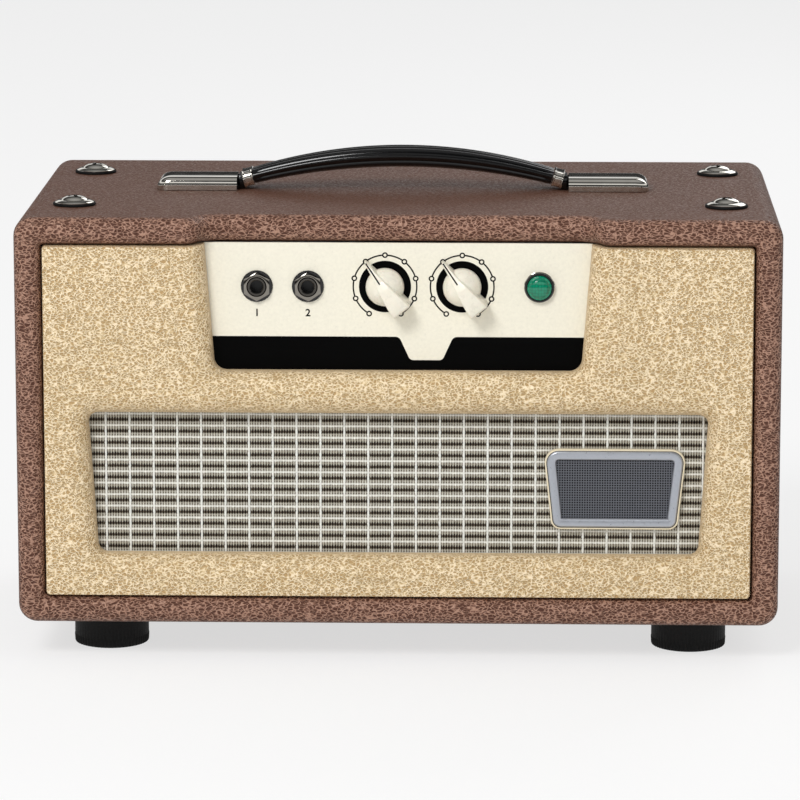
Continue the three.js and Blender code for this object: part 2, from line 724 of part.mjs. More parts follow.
const valves = [
  ...PREAMP_X.map((x, i) => ({ ...PREAMP, x, name: "preamp_valve_" + (i + 1) })),
  { ...POWER, x: POWER_X, name: "power_valve" },
];

function chassisPan() {
  const z0 = CHASSIS_FLOOR;
  const inner = CHASSIS_HALF - SHEET;
  const pan = cut(
    block(-CHASSIS_HALF, CHASSIS_HALF, CHASSIS_FRONT, CHASSIS_REAR, z0, CHASSIS_TOP),
    block(-inner, inner, CHASSIS_FRONT + SHEET, CHASSIS_REAR - SHEET, z0 + SHEET, CHASSIS_TOP + 1),
  );
  const edge = INNER_SIDE - FLANGE_GAP;
  const flanges = [-1, 1].map((side) =>
    block(
      Math.min(side * inner, side * edge),
      Math.max(side * inner, side * edge),
      CHASSIS_FRONT + FLANGE_SHORT,
      CHASSIS_REAR - FLANGE_SHORT,
      CHASSIS_TOP - SHEET,
      CHASSIS_TOP,
    ),
  );
  const rear = block(-edge, edge, CHASSIS_REAR - SHEET, CHASSIS_REAR, z0, CHASSIS_TOP);
  const nutTop = CHASSIS_TOP - SHEET;
  const nut = (x, y) => plate(WELD_NUT, WELD_NUT, nutTop - WELD_NUT_HEIGHT, nutTop, x, y);
  const nuts = boltSpots.map(([x, y]) => nut(x, y));
  const threads = boltSpots.map(([x, y]) => rod(BOLT_R + SEAM, z0, TOP, x, y));
  const valveHoles = valves.map((valve) => rod(valve.cut, z0 - 1, z0 + SHEET + 1, valve.x, VALVE_Y));
  return cut(join(pan, rear, ...flanges, ...nuts), ...threads, ...valveHoles);
}

// Holes for one control row, in that row's frame and through everything near its panel's plane.
function frontHoles() {
  const through = (r, x) => rod(r + SEAM, -FRONT_STACK - 1, 1, x);
  return join(
    ...INPUT_X.map((x) => through(JACK_BUSH_R, x)),
    ...[VOLUME_X, TONE_X].map((x) => through(POT_BUSH_R, x)),
    through(LAMP_R, PILOT_X),
  );
}

function rearHoles() {
  const through = (r, x) => rod(r + SEAM, -SHEET - 1, 1, x);
  const [width, height] = INLET_BODY;
  return join(
    plate(width + 2 * SEAM, height + 2 * SEAM, -SHEET - 1, 1, INLET_X),
    through(FUSE_BODY_R, FUSE_X),
    through(SWITCH_BUSH_R, SWITCH_X),
    through(POT_BUSH_R, ATTENUATOR_X),
    ...SPEAKER_X.map((x) => through(JACK_BUSH_R, x)),
  );
}

function chassisAndPanel() {
  const front = frontHoles().rotate([90, 0, 0]).translate([0, PANEL_FACE, TOP - CONTROL_DROP]);
  const rear = rearHoles()
    .rotate([90, 0, 0])
    .rotate([0, 0, 180])
    .translate([0, CHASSIS_REAR, TOP - REAR_ROW_DROP]);
  piece(amplifier, "chassis", cut(chassisPan(), front, rear), STEEL);
  const half = RECESS_TOP_HALF + PANEL_MARGIN;
  const bottom = TOP - RECESS_DROP - PANEL_MARGIN;
  const panel = block(-half, half, PANEL_FACE, PANEL_FACE + PANEL, bottom, CHASSIS_TOP);
  piece(amplifier, "control_panel", cut(panel, front), IVORY);
}

// ---------------------------------------------------------------- pieces on the control rows

// A jack socket behind a panel of the given thickness; its bore is blind.
function jack(stack) {
  const face = -stack - SEAM;
  return cut(
    join(
      plate(JACK_BODY, JACK_BODY, face - JACK_DEPTH, face),
      rod(JACK_BUSH_R, face - 1, JACK_BUSH_OUT),
    ),
    rod(JACK_BORE_R, face - JACK_DEPTH + SHEET, JACK_BUSH_OUT + 1),
  );
}

function jackNut(bore) {
  const seat = SEAM + WASHER;
  return cut(
    join(rod(WASHER_R, SEAM, seat), hexagon(NUT_FLATS, seat - 0.2, seat + NUT_HEIGHT)),
    rod(bore, 0, JACK_BUSH_OUT + 1),
  );
}

function pot(stack, r, depth) {
  const face = -stack - SEAM;
  const body = join(
    rod(r, face - depth, face),
    rod(POT_BUSH_R, face - 1, POT_BUSH_OUT),
    hexagon(POT_BUSH_R * 2.3, SEAM, POT_BUSH_OUT - SEAM),
  );
  return cut(body, rod(SHAFT_R + SEAM, face - depth + SHEET, POT_BUSH_OUT + 1));
}

function shaft(stack, depth) {
  return rod(SHAFT_R, -stack - depth + SHEET + SEAM, SHAFT_OUT);
}

// A pointer knob: a round skirt with a bar that is thick at the tail and runs down to the tip.
function pointerKnob() {
  const low = KNOB_LIFT;
  const skirt = turned([
    [0, low],
    [KNOB_R, low],
    [KNOB_R, low + 3.4],
    [KNOB_R - 0.8, low + 4.4],
    [KNOB_R - 3.6, low + 5.4],
    [0, low + 5.8],
  ]);
  const bar = prism(
    outline([
      [-6, -KNOB_TAIL, 1.2],
      [6, -KNOB_TAIL, 1.2],
      [3.8, 0, 30],
      [1.1, KNOB_TIP, 0.8],
      [-1.1, KNOB_TIP, 0.8],
      [-3.8, 0, 30],
    ]),
    low + 1.4,
    low + KNOB_HEIGHT,
  );
  const profile = outline([
    [-KNOB_TAIL - 1, low],
    [KNOB_TIP + 1, low],
    [KNOB_TIP + 1, low + 3.4],
    [9, low + 8.2, 30],
    [1, low + KNOB_HEIGHT, 8],
    [-KNOB_TAIL + 1.2, low + KNOB_HEIGHT, 4],
    [-KNOB_TAIL - 0.2, low + 3],
  ]);
  const side = prismY(profile, -KNOB_R, KNOB_R).rotate([0, 0, 90]);
  return cut(
    join(skirt, bar.intersect(side)),
    rod(KNOB_RECESS_R, low - 1, low + KNOB_RECESS),
    rod(SHAFT_R + SEAM, low, SHAFT_OUT + SEAM),
  );
}

function frontControls() {
  INPUT_X.forEach((x, i) => {
    piece(frontRow, "input_jack_" + (i + 1), jack(FRONT_STACK), BLACK, [x, 0, 0]);
    piece(frontRow, "jack_nut_" + (i + 1), jackNut(JACK_BUSH_R + SEAM), NICKEL, [x, 0, 0]);
  });
  const rest = THREE.MathUtils.degToRad(KNOB_REST);
  for (const [name, x] of [["volume", VOLUME_X], ["tone", TONE_X]]) {
    piece(frontRow, name + "_pot", pot(FRONT_STACK, POT_R, POT_DEPTH), STEEL, [x, 0, 0]);
    piece(frontRow, name + "_shaft", shaft(FRONT_STACK, POT_DEPTH), NICKEL, [x, 0, 0]);
    piece(frontRow, name + "_knob", pointerKnob(), IVORY, [x, 0, 0], rest);
  }
}

function pilotLamp() {
  const floor = BEZEL_HEIGHT - 1.3;
  const bezel = turned([
    [0, -LAMP_DEPTH],
    [LAMP_R, -LAMP_DEPTH],
    [LAMP_R, SEAM],
    [BEZEL_R, SEAM],
    [BEZEL_R, BEZEL_HEIGHT - 0.5],
    [BEZEL_R - 0.5, BEZEL_HEIGHT],
    [JEWEL_R + SEAM, BEZEL_HEIGHT],
    [JEWEL_R + SEAM, floor],
    [0, floor],
  ]);
  const low = floor + SEAM;
  const jewel = turned([
    [0, low],
    [JEWEL_R, low],
    [JEWEL_R, low + JEWEL_HEIGHT * 0.35],
    [JEWEL_R * 0.85, low + JEWEL_HEIGHT * 0.7],
    [JEWEL_R * 0.45, low + JEWEL_HEIGHT * 0.95],
    [0, low + JEWEL_HEIGHT],
  ]);
  piece(frontRow, "pilot_bezel", bezel, CHROME, [PILOT_X, 0, 0]);
  piece(frontRow, "pilot_jewel", jewel, GREEN, [PILOT_X, 0, 0]);
}

// The mains socket: a flanged body with three blades standing in its well.
function mainsInlet() {
  const [flangeWidth, flangeHeight, flange] = INLET_FLANGE;
  const [width, height, depth] = INLET_BODY;
  const [wellWidth, wellHeight, well] = INLET_SOCKET;
  const face = SEAM + flange;
  const floor = face - well;
  const blade = (x, y) => plate(2, 4, floor - 1, floor + INLET_PIN_LENGTH, x, y);
  return join(
    cut(
      join(
        plate(flangeWidth, flangeHeight, SEAM, face),
        plate(width, height, face - depth, face - 0.5),
      ),
      plate(wellWidth, wellHeight, floor, face + 1),
    ),
    blade(-INLET_PIN_PITCH, -2),
    blade(INLET_PIN_PITCH, -2),
    blade(0, 2),
  );
}

function fuseSet() {
  const face = SEAM + FUSE_FLANGE;
  const holder = turned([
    [0, face - FUSE_DEPTH],
    [FUSE_BODY_R, face - FUSE_DEPTH],
    [FUSE_BODY_R, SEAM],
    [FUSE_FLANGE_R, SEAM],
    [FUSE_FLANGE_R, face],
    [FUSE_BORE_R, face],
    [FUSE_BORE_R, face - FUSE_DEPTH + SHEET],
    [0, face - FUSE_DEPTH + SHEET],
  ]);
  const low = face + SEAM;
  const cap = turned([
    [0, low - FUSE_PLUG + FUSE_HELD],
    [FUSE_R + SEAM, low - FUSE_PLUG + FUSE_HELD],
    [FUSE_R + SEAM, low - FUSE_PLUG],
    [FUSE_BORE_R - SEAM, low - FUSE_PLUG],
    [FUSE_BORE_R - SEAM, low],
    [FUSE_CAP_R, low],
    [FUSE_CAP_R - 0.4, low + FUSE_CAP_HEIGHT - 0.8],
    [FUSE_CAP_R - 1.2, low + FUSE_CAP_HEIGHT],
    [0, low + FUSE_CAP_HEIGHT],
  ]);
  const slot = plate(2 * FUSE_CAP_R, 1.4, low + FUSE_CAP_HEIGHT - 1.6, low + FUSE_CAP_HEIGHT + 1);
  const fuseTop = low - FUSE_PLUG + FUSE_HELD - SEAM;
  piece(rearRow, "fuse_holder", holder, BLACK, [FUSE_X, 0, 0]);
  piece(rearRow, "fuse_cap", cut(cap, slot), BLACK, [FUSE_X, 0, 0]);
  piece(rearRow, "fuse", rod(FUSE_R, fuseTop - FUSE_LENGTH, fuseTop), GLASS, [FUSE_X, 0, 0]);
}

// A toggle switch whose lever rocks about X on a ball inside the bush.
function powerSwitch() {
  const [width, height, depth] = SWITCH_BODY;
  const face = -SHEET - SEAM;
  const body = cut(
    join(
      plate(width, height, face - depth, face),
      rod(SWITCH_BUSH_R, face - 1, SWITCH_BUSH_OUT),
      hexagon(2 * SWITCH_BUSH_R + 3, SEAM, SEAM + 2),
    ),
    rod(SWITCH_BORE_R, face - LEVER_BALL_R - SEAM, SWITCH_BUSH_OUT + 1),
  );
  const lever = turned([
    [0, -LEVER_BALL_R],
    [LEVER_BALL_R * 0.8, -LEVER_BALL_R * 0.6],
    [LEVER_BALL_R, 0],
    [LEVER_BALL_R * 0.8, LEVER_BALL_R * 0.6],
    [LEVER_R, LEVER_BALL_R * 0.85],
    [LEVER_R, LEVER_LENGTH * 0.55],
    [LEVER_TIP_R, LEVER_LENGTH - 2],
    [LEVER_TIP_R * 0.6, LEVER_LENGTH - 0.5],
    [0, LEVER_LENGTH],
  ]);
  piece(rearRow, "power_switch", body, STEEL, [SWITCH_X, 0, 0]);
  piece(rearRow, "switch_lever", lever.rotate([LEVER_THROW, 0, 0]), CHROME, [SWITCH_X, 0, 0]);
}

function rearControls() {
  piece(rearRow, "mains_inlet", mainsInlet(), BLACK, [INLET_X, 0, 0]);
  fuseSet();
  powerSwitch();
  const stepper = pot(SHEET, STEPPER_R, STEPPER_DEPTH);
  const knob = join(pointerKnob(), shaft(SHEET, STEPPER_DEPTH).add(rod(SHAFT_R + 1, 5, SHAFT_OUT + 1)));
  piece(rearRow, "attenuator_switch", stepper, STEEL, [ATTENUATOR_X, 0, 0]);
  piece(rearRow, "attenuator_knob", knob, IVORY, [ATTENUATOR_X, 0, 0]);
  SPEAKER_X.forEach((x, i) => {
    const whole = join(jack(SHEET), jackNut(JACK_BUSH_R - 0.5));
    piece(rearRow, "speaker_jack_" + (i + 1), whole, BLACK, [x, 0, 0]);
  });
}

// ---------------------------------------------------------------- inside the cabinet

// A valve socket: a flange under the chassis floor, a neck through its hole, a recess for the base.
function valveSocket({ r, socket, cut: hole, seat }) {
  return turned([
    [0, -seat + SEAT_RECESS],
    [r + SEAM, -seat + SEAT_RECESS],
    [r + SEAM, -seat],
    [socket, -seat],
    [socket, -SEAM],
    [hole - SEAM, -SEAM],
    [hole - SEAM, SHEET + SOCKET_TOP],
    [0, SHEET + SOCKET_TOP],
  ]);
}

function preampValve({ r, length }) {
  return turned([
    [0, -length],
    [1.6, -length + 0.4],
    [2.2, -length + 4],
    [r * 0.7, -length + 6.5],
    [r, -length + 11],
    [r, 0],
    [0, 0],
  ]);
}

function powerValve({ r, length }) {
  return turned([
    [0, -length],
    [r * 0.45, -length + 1],
    [r * 0.8, -length + 5],
    [r * 0.9, -length + 12],
    [r * 0.9, -22],
    [r, -21],
    [r, 0],
    [0, 0],
  ]);
}

function valveSet() {
  for (const valve of valves) {
    const place = [valve.x, VALVE_Y, CHASSIS_FLOOR];
    piece(amplifier, valve.name + "_socket", valveSocket(valve), BLACK, place);
    const shape = valve.name === "power_valve" ? powerValve(valve) : preampValve(valve);
    place[2] -= valve.seat - SEAT_RECESS + SEAM;
    piece(amplifier, valve.name, shape, GLASS, place);
  }
}

// A laminated core with its winding standing out front and rear, hung by its upper flange.
function transformer(name, side, { end, rear, core, coil }) {
  const [width, depth, height] = core;
  const [coilWidth, coilDepth] = coil;
  const winding = outline([
    [-coilWidth / 2, -coilDepth / 2, 5],
    [coilWidth / 2, -coilDepth / 2, 5],
    [coilWidth / 2, coilDepth / 2, 5],
    [-coilWidth / 2, coilDepth / 2, 5],
  ]);
  const shape = join(
    plate(width, depth, -height, -SEAM),
    plate(width + 14, depth * 0.5, -SHEET - SEAM, -SEAM),
    prism(winding, -height * 0.84, -height * 0.16),
  );
  const place = [side * (CHASSIS_HALF - end), CHASSIS_REAR - rear, CHASSIS_FLOOR];
  piece(amplifier, name, shape, IRON, place);
}

function circuitBoard() {
  const width = 2 * (CHASSIS_HALF - CIRCUIT_END_GAP);
  const front = CHASSIS_FRONT + CIRCUIT_FRONT_GAP;
  const rear = CHASSIS_REAR - CIRCUIT_REAR_GAP;
  const depth = rear - front;
  const top = CIRCUIT / 2;
  const lying = ([r, length], x, y) =>
    rod(r, -length / 2, length / 2).rotate([90, 0, 0]).translate([x, y, top + r * 0.9]);
  const corners = [-1, 1].flatMap((i) => [-1, 1].map((j) => [i, j]));
  const posts = corners.map(([i, j]) =>
    rod(
      3,
      -STANDOFF,
      0,
      i * (width / 2 - STANDOFF_INSET),
      j * (depth / 2 - STANDOFF_INSET),
      8,
    ),
  );
  const big = [0, 1, 2].map((i) => lying(BIG_CAPACITOR, 46 + 24 * i, 8));
  const small = [0, 1, 2, 3, 4].map((i) => lying(SMALL_CAPACITOR, -90 + 25 * i, i % 2 ? 18 : -18));
  const shape = join(plate(width, depth, -top, top), ...posts, ...big, ...small);
  const height = CHASSIS_FLOOR + SHEET + SEAM + STANDOFF;
  piece(amplifier, "circuit_board", shape, LAMINATE, [0, (front + rear) / 2, height]);
}

boards();
baffle();
clothAndBadge();
backPanel();
feet();
chassisBolts();
handle();
chassisAndPanel();
frontControls();
pilotLamp();
rearControls();
valveSet();
transformer("mains_transformer", 1, MAINS_TRANSFORMER);
transformer("output_transformer", -1, OUTPUT_TRANSFORMER);
circuitBoard();

export default amplifier;
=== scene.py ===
# %% [markdown]
# # A small valve guitar amp head
# The real thing is a plywood box wrapped in embossed vinyl. Its front board has two windows with
# rolled edges: one over the control panel, one over a cloth grille. A steel chassis hangs inside
# from four bolts, and a moulded handle is held down by two chrome caps.
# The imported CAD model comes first. It fixes every size and place, so each piece that is made
# below starts from a CAD node's box.

# %% Load the frame
import math

import bmesh
import bpy
import numpy as np
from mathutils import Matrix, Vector
from mathutils.geometry import tessellate_polygon


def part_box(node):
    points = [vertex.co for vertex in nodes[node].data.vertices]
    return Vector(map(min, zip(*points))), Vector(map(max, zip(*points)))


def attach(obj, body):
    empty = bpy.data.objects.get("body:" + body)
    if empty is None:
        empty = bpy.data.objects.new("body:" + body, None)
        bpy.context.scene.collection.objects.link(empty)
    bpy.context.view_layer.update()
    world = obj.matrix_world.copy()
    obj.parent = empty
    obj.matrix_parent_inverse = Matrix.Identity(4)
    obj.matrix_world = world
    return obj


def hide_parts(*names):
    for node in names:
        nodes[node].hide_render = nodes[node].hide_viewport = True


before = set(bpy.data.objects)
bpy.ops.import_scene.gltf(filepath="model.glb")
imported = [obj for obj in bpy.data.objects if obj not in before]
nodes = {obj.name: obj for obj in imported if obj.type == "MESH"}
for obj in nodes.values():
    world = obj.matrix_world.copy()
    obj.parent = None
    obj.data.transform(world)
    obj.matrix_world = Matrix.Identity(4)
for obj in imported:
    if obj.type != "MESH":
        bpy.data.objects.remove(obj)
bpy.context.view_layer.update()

# %% [markdown]
# Lengths are written in millimetres, as on a drawing, and become metres only where a mesh is
# made. `low` and `high` are a node's two corners in millimetres, and `middle` is its centre.

# %% Millimetres
MM = 0.001


def low(node):
    return np.array(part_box(node)[0]) / MM


def high(node):
    return np.array(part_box(node)[1]) / MM


def middle(node):
    return (low(node) + high(node)) / 2


print("top board from", low("top_board").round(2), "to", high("top_board").round(2))

# %% [markdown]
# ## Shapes from arrays
# Nearly everything here is a stack of closed rings: a turned piece is a stack of circles, a plate
# is a stack of outlines, a handle is a stack of sections along its arc. So one function joins
# neighbouring rings with squares, and the rest only work out where the rings lie.


# %% Joining rings
def grid_squares(rows, columns, join_rows=False, join_columns=True):
    """Corner numbers of the squares between neighbouring points of a grid. A joined direction
    runs on from its last row or column to its first."""
    r = np.arange(rows if join_rows else rows - 1)[:, None]
    c = np.arange(columns if join_columns else columns - 1)[None, :]
    r1, c1 = (r + 1) % rows, (c + 1) % columns
    corners = [r * columns + c, r * columns + c1, r1 * columns + c1, r1 * columns + c]
    return np.stack(corners, -1).reshape(-1, 4).tolist()


def stack(rings, ends=True, loop=False):
    """Points and faces of a stack of closed rings, given as an array [ring, point, xyz]. ends
    fills the first and last ring; loop joins the last ring to the first instead."""
    rings = np.asarray(rings, float)
    rows, columns = rings.shape[:2]
    faces = grid_squares(rows, columns, loop)
    if ends and not loop:
        faces += [list(range(columns)), [(rows - 1) * columns + i for i in range(columns)]]
    return rings.reshape(-1, 3), faces


print(len(stack(np.zeros((3, 8, 3)))[1]), "faces join three rings of eight points")

# %% [markdown]
# An outline is drawn by its corners, each with a radius. The arc's centre lies on the corner's
# bisector, and its points are the start and end spokes blended by sines, which keeps their length.


# %% Rounded outlines
def rounded(corners, steps=6, closed=True):
    """Points through corners [a, b, radius], each corner a true arc: its centre is radius /
    sin(half angle) along the bisector, and it starts radius / tan(half angle) from the corner."""
    corners = [(*c, 0.0)[:3] for c in corners]
    points = []
    for i, (a, b, r) in enumerate(corners):
        here = np.array([a, b], float)
        if r <= 0 or (not closed and i in (0, len(corners) - 1)):
            points.append(here[None])
            continue
        u = np.array(corners[i - 1][:2]) - here
        v = np.array(corners[(i + 1) % len(corners)][:2]) - here
        u, v = u / np.linalg.norm(u), v / np.linalg.norm(v)
        half = math.acos(np.clip(u @ v, -1, 1)) / 2
        centre = here + (u + v) / np.linalg.norm(u + v) * r / math.sin(half)
        spoke_in = here + u * r / math.tan(half) - centre
        spoke_out = here + v * r / math.tan(half) - centre
        turn = math.pi - 2 * half
        t = np.linspace(0, 1, steps + 1)[:, None]
        points.append(centre + (spoke_in * np.sin((1 - t) * turn) + spoke_out * np.sin(t * turn))
                      / math.sin(turn))
    return np.concatenate(points)


def box_outline(width, height, r, a=0.0, b=0.0, steps=6):
    """A rectangle of that width and height round [a, b], with its corners rounded."""
    w, h = width / 2, height / 2
    return rounded([(a - w, b - h, r), (a + w, b - h, r), (a + w, b + h, r), (a - w, b + h, r)],
                   steps)


def drawn_in(loop, inset):
    """A closed loop moved inwards by inset: each point goes along the mean of its two edges'
    normals, lengthened so that both edges move by exactly that much."""
    loop = np.asarray(loop, float)
    edge = np.roll(loop, -1, 0) - loop
    normal = np.stack([-edge[:, 1], edge[:, 0]], 1) / np.linalg.norm(edge, axis=1)[:, None]
    before = np.roll(normal, 1, 0)
    mitre = (normal + before) / (1 + (normal * before).sum(1, keepdims=True))
    area = (loop[:, 0] * np.roll(loop[:, 1], -1) - np.roll(loop[:, 0], -1) * loop[:, 1]).sum()
    return loop + mitre * inset * np.sign(area)


print(len(box_outline(10, 6, 1)), "points round a rounded rectangle")

# %% [markdown]
# A panel's own directions are handy for pieces that stand on it: `across` and `up` lie in its
# face and `out` leaves it. The control row looks out of the front and the rear row out of the
# back; the bolts stand above the cabinet, and the valves and foot screws hang below.


# %% Places
FRONT = dict(across=(1, 0, 0), up=(0, 0, 1), out=(0, -1, 0))
BACK = dict(across=(-1, 0, 0), up=(0, 0, 1), out=(0, 1, 0))
ABOVE = dict(across=(1, 0, 0), up=(0, 1, 0), out=(0, 0, 1))
BELOW = dict(across=(1, 0, 0), up=(0, -1, 0), out=(0, 0, -1))


def placed(points, origin=(0, 0, 0), across=(1, 0, 0), up=(0, 1, 0), out=(0, 0, 1), turn=0.0):
    """Points [a, b, height] put at origin + a * across + b * up + height * out, after a turn in
    degrees about out, anticlockwise as seen from outside."""
    points = np.asarray(points, float)
    c, s = math.cos(math.radians(turn)), math.sin(math.radians(turn))
    a, b = points[..., 0] * c - points[..., 1] * s, points[..., 0] * s + points[..., 1] * c
    axes = np.array([across, up, out], float)
    return np.array(origin, float) + np.stack([a, b, points[..., 2]], -1) @ axes


def put(shape, **place):
    """A shape, which is points and faces, put at a place."""
    return placed(shape[0], **place), shape[1]


def around(sides):
    """Angles of that many even steps round a circle."""
    return np.arange(sides) * 2 * math.pi / sides


def spun(radius, height, angle):
    """Rings about the height, as an array [ring, point, xyz]: each point is [radius * cos,
    radius * sin, height]. The radius and the height may also vary round a ring."""
    radius, height, angle = np.broadcast_arrays(radius, height, angle)
    return np.stack([radius * np.cos(angle), radius * np.sin(angle), height], -1)


def turned(profile, sides=64):
    """A profile of [radius, height] pairs turned about the height. A radius of nothing closes
    the end in one point."""
    profile = np.asarray(profile, float)
    rings = spun(profile[:, :1], profile[:, 1:], around(sides))
    return stack(rings, ends=profile[0, 0] > 0 or profile[-1, 0] > 0)


def washer(profile, sides=64):
    """A closed section of [radius, height] pairs that stays clear of the axis, turned about it."""
    profile = np.asarray(profile, float)
    return stack(spun(profile[:, :1], profile[:, 1:], around(sides)), loop=True)


def plate(loops_at, edge):
    """A flat plate with holes. loops_at(inset) gives its outline and its holes with every edge
    drawn back by inset, and edge is the rim's section: [inset, height] pairs from the rear face
    to the front one. Each loop is carried along it, and the first and last stage are filled."""
    stages = []
    for inset, height in edge:
        loops = [np.column_stack([loop, np.full(len(loop), height)]) for loop in loops_at(inset)]
        stages.append(loops)
    shapes = [stack(np.stack(walls), ends=False) for walls in zip(*stages)]
    for loops in (stages[0], stages[-1]):
        flat = tessellate_polygon([[Vector(p) for p in loop] for loop in loops])
        shapes.append((np.concatenate(loops), [list(t) for t in flat if len(set(t)) == 3]))
    return together(*shapes)


def together(*shapes):
    """Several shapes as one."""
    points, faces, start = [], [], 0
    for some_points, some_faces in shapes:
        some_points = np.asarray(some_points, float).reshape(-1, 3)
        points.append(some_points)
        faces += [[start + i for i in face] for face in some_faces]
        start += len(some_points)
    return np.concatenate(points), faces


print(len(turned([(0, 0), (3, 0), (3, 2), (0, 2)])[0]), "points in a turned disc")

# %% [markdown]
# `make` turns shapes into one finished Blender object. It merges points that lie on each other
# (a pole of a turned piece, the rim of a filled end), turns all faces outwards, shades the curves
# smooth and keeps edges sharper than `crease` degrees. A piece may have several finishes.


# %% Making a piece
def make(name, parts, body="cabinet", replaces=(), crease=32, outward=True):
    """An object from parts, a list of (shape, finish). It rides on a CAD body and stands for the
    CAD nodes in replaces."""
    mesh = bpy.data.meshes.new(name)
    points, faces = together(*[shape for shape, _ in parts])
    mesh.from_pydata((points * MM).tolist(), [], faces)
    finishes = [finish for _, finish in parts]
    kinds = list(dict.fromkeys(finishes))
    for finish in kinds:
        mesh.materials.append(finish)
    index = np.concatenate([np.full(len(shape[1]), kinds.index(f)) for shape, f in parts])
    mesh.polygons.foreach_set("material_index", index.astype(np.int32))
    edit = bmesh.new()
    edit.from_mesh(mesh)
    bmesh.ops.remove_doubles(edit, verts=edit.verts, dist=1e-6)
    if outward:
        bmesh.ops.recalc_face_normals(edit, faces=edit.faces)
    edit.to_mesh(mesh)
    edit.free()
    mesh.polygons.foreach_set("use_smooth", np.ones(len(mesh.polygons), bool))
    mesh.set_sharp_from_angle(angle=math.radians(crease))
    piece = bpy.data.objects.new(name, mesh)
    bpy.context.scene.collection.objects.link(piece)
    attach(piece, body)
    if replaces:
        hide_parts(*replaces)
    print(f"{name}: {len(mesh.polygons)} faces")
    return piece

# %% [markdown]
# ## Finishes
# Every finish is one Principled shader. Colours are given as they look on a screen (sRGB hex)
# and turned to linear light, which is what the shader works in. Patterns read Object
# coordinates: every piece sits at the origin, so these are metres on the real object, and a
# scale of `per_mm(3)` repeats every 3 mm.


# %% Colour, scale and the node helper
def linear(hex_colour):
    """sRGB hex to linear RGBA: below 0.04045 it is divided by 12.92, above it is
    ((v + 0.055) / 1.055) to the power 2.4."""
    v = np.array([int(hex_colour[i:i + 2], 16) for i in (1, 3, 5)]) / 255
    v = np.where(v <= 0.04045, v / 12.92, ((v + 0.055) / 1.055) ** 2.4)
    return (*v.tolist(), 1.0)


def per_mm(size):
    """The scale at which a pattern repeats every size mm: one over that size in metres."""
    return 1 / (size * MM)


def add(tree, kind, settings=None, **inputs):
    """Adds a node. settings are its own properties. Each input is a value or another node's
    output; _0, _1 name an input by its number and an underscore in a name stands for a space."""
    node = tree.nodes.new("ShaderNode" + kind)
    for name, value in (settings or {}).items():
        setattr(node, name, value)
    for name, value in inputs.items():
        socket = node.inputs[int(name[1:]) if name[0] == "_" else name.replace("_", " ")]
        if isinstance(value, bpy.types.NodeSocket):
            tree.links.new(value, socket)
        else:
            socket.default_value = value
    return node


def finish(name, **shader):
    """A material with one Principled shader. Returns the material, its tree and the shader."""
    material = bpy.data.materials.new(name)
    material.use_nodes = True
    tree = material.node_tree
    surface = tree.nodes["Principled BSDF"]
    for key, value in shader.items():
        surface.inputs[key.replace("_", " ")].default_value = value
    return material, tree, surface


def feed(tree, socket, source):
    """Links a node's output to a socket."""
    tree.links.new(source, socket)


def fill_stops(ramp, tones):
    """Sets a colour ramp's stops from [place, sRGB hex] pairs, the first at 0 and the last at 1."""
    stops = ramp.color_ramp.elements
    stops[0].color, stops[1].color = linear(tones[0][1]), linear(tones[-1][1])
    for at, tone in tones[1:-1]:
        stops.new(at).color = linear(tone)


print("mid grey is", round(linear("#808080")[0], 3), "in linear light")
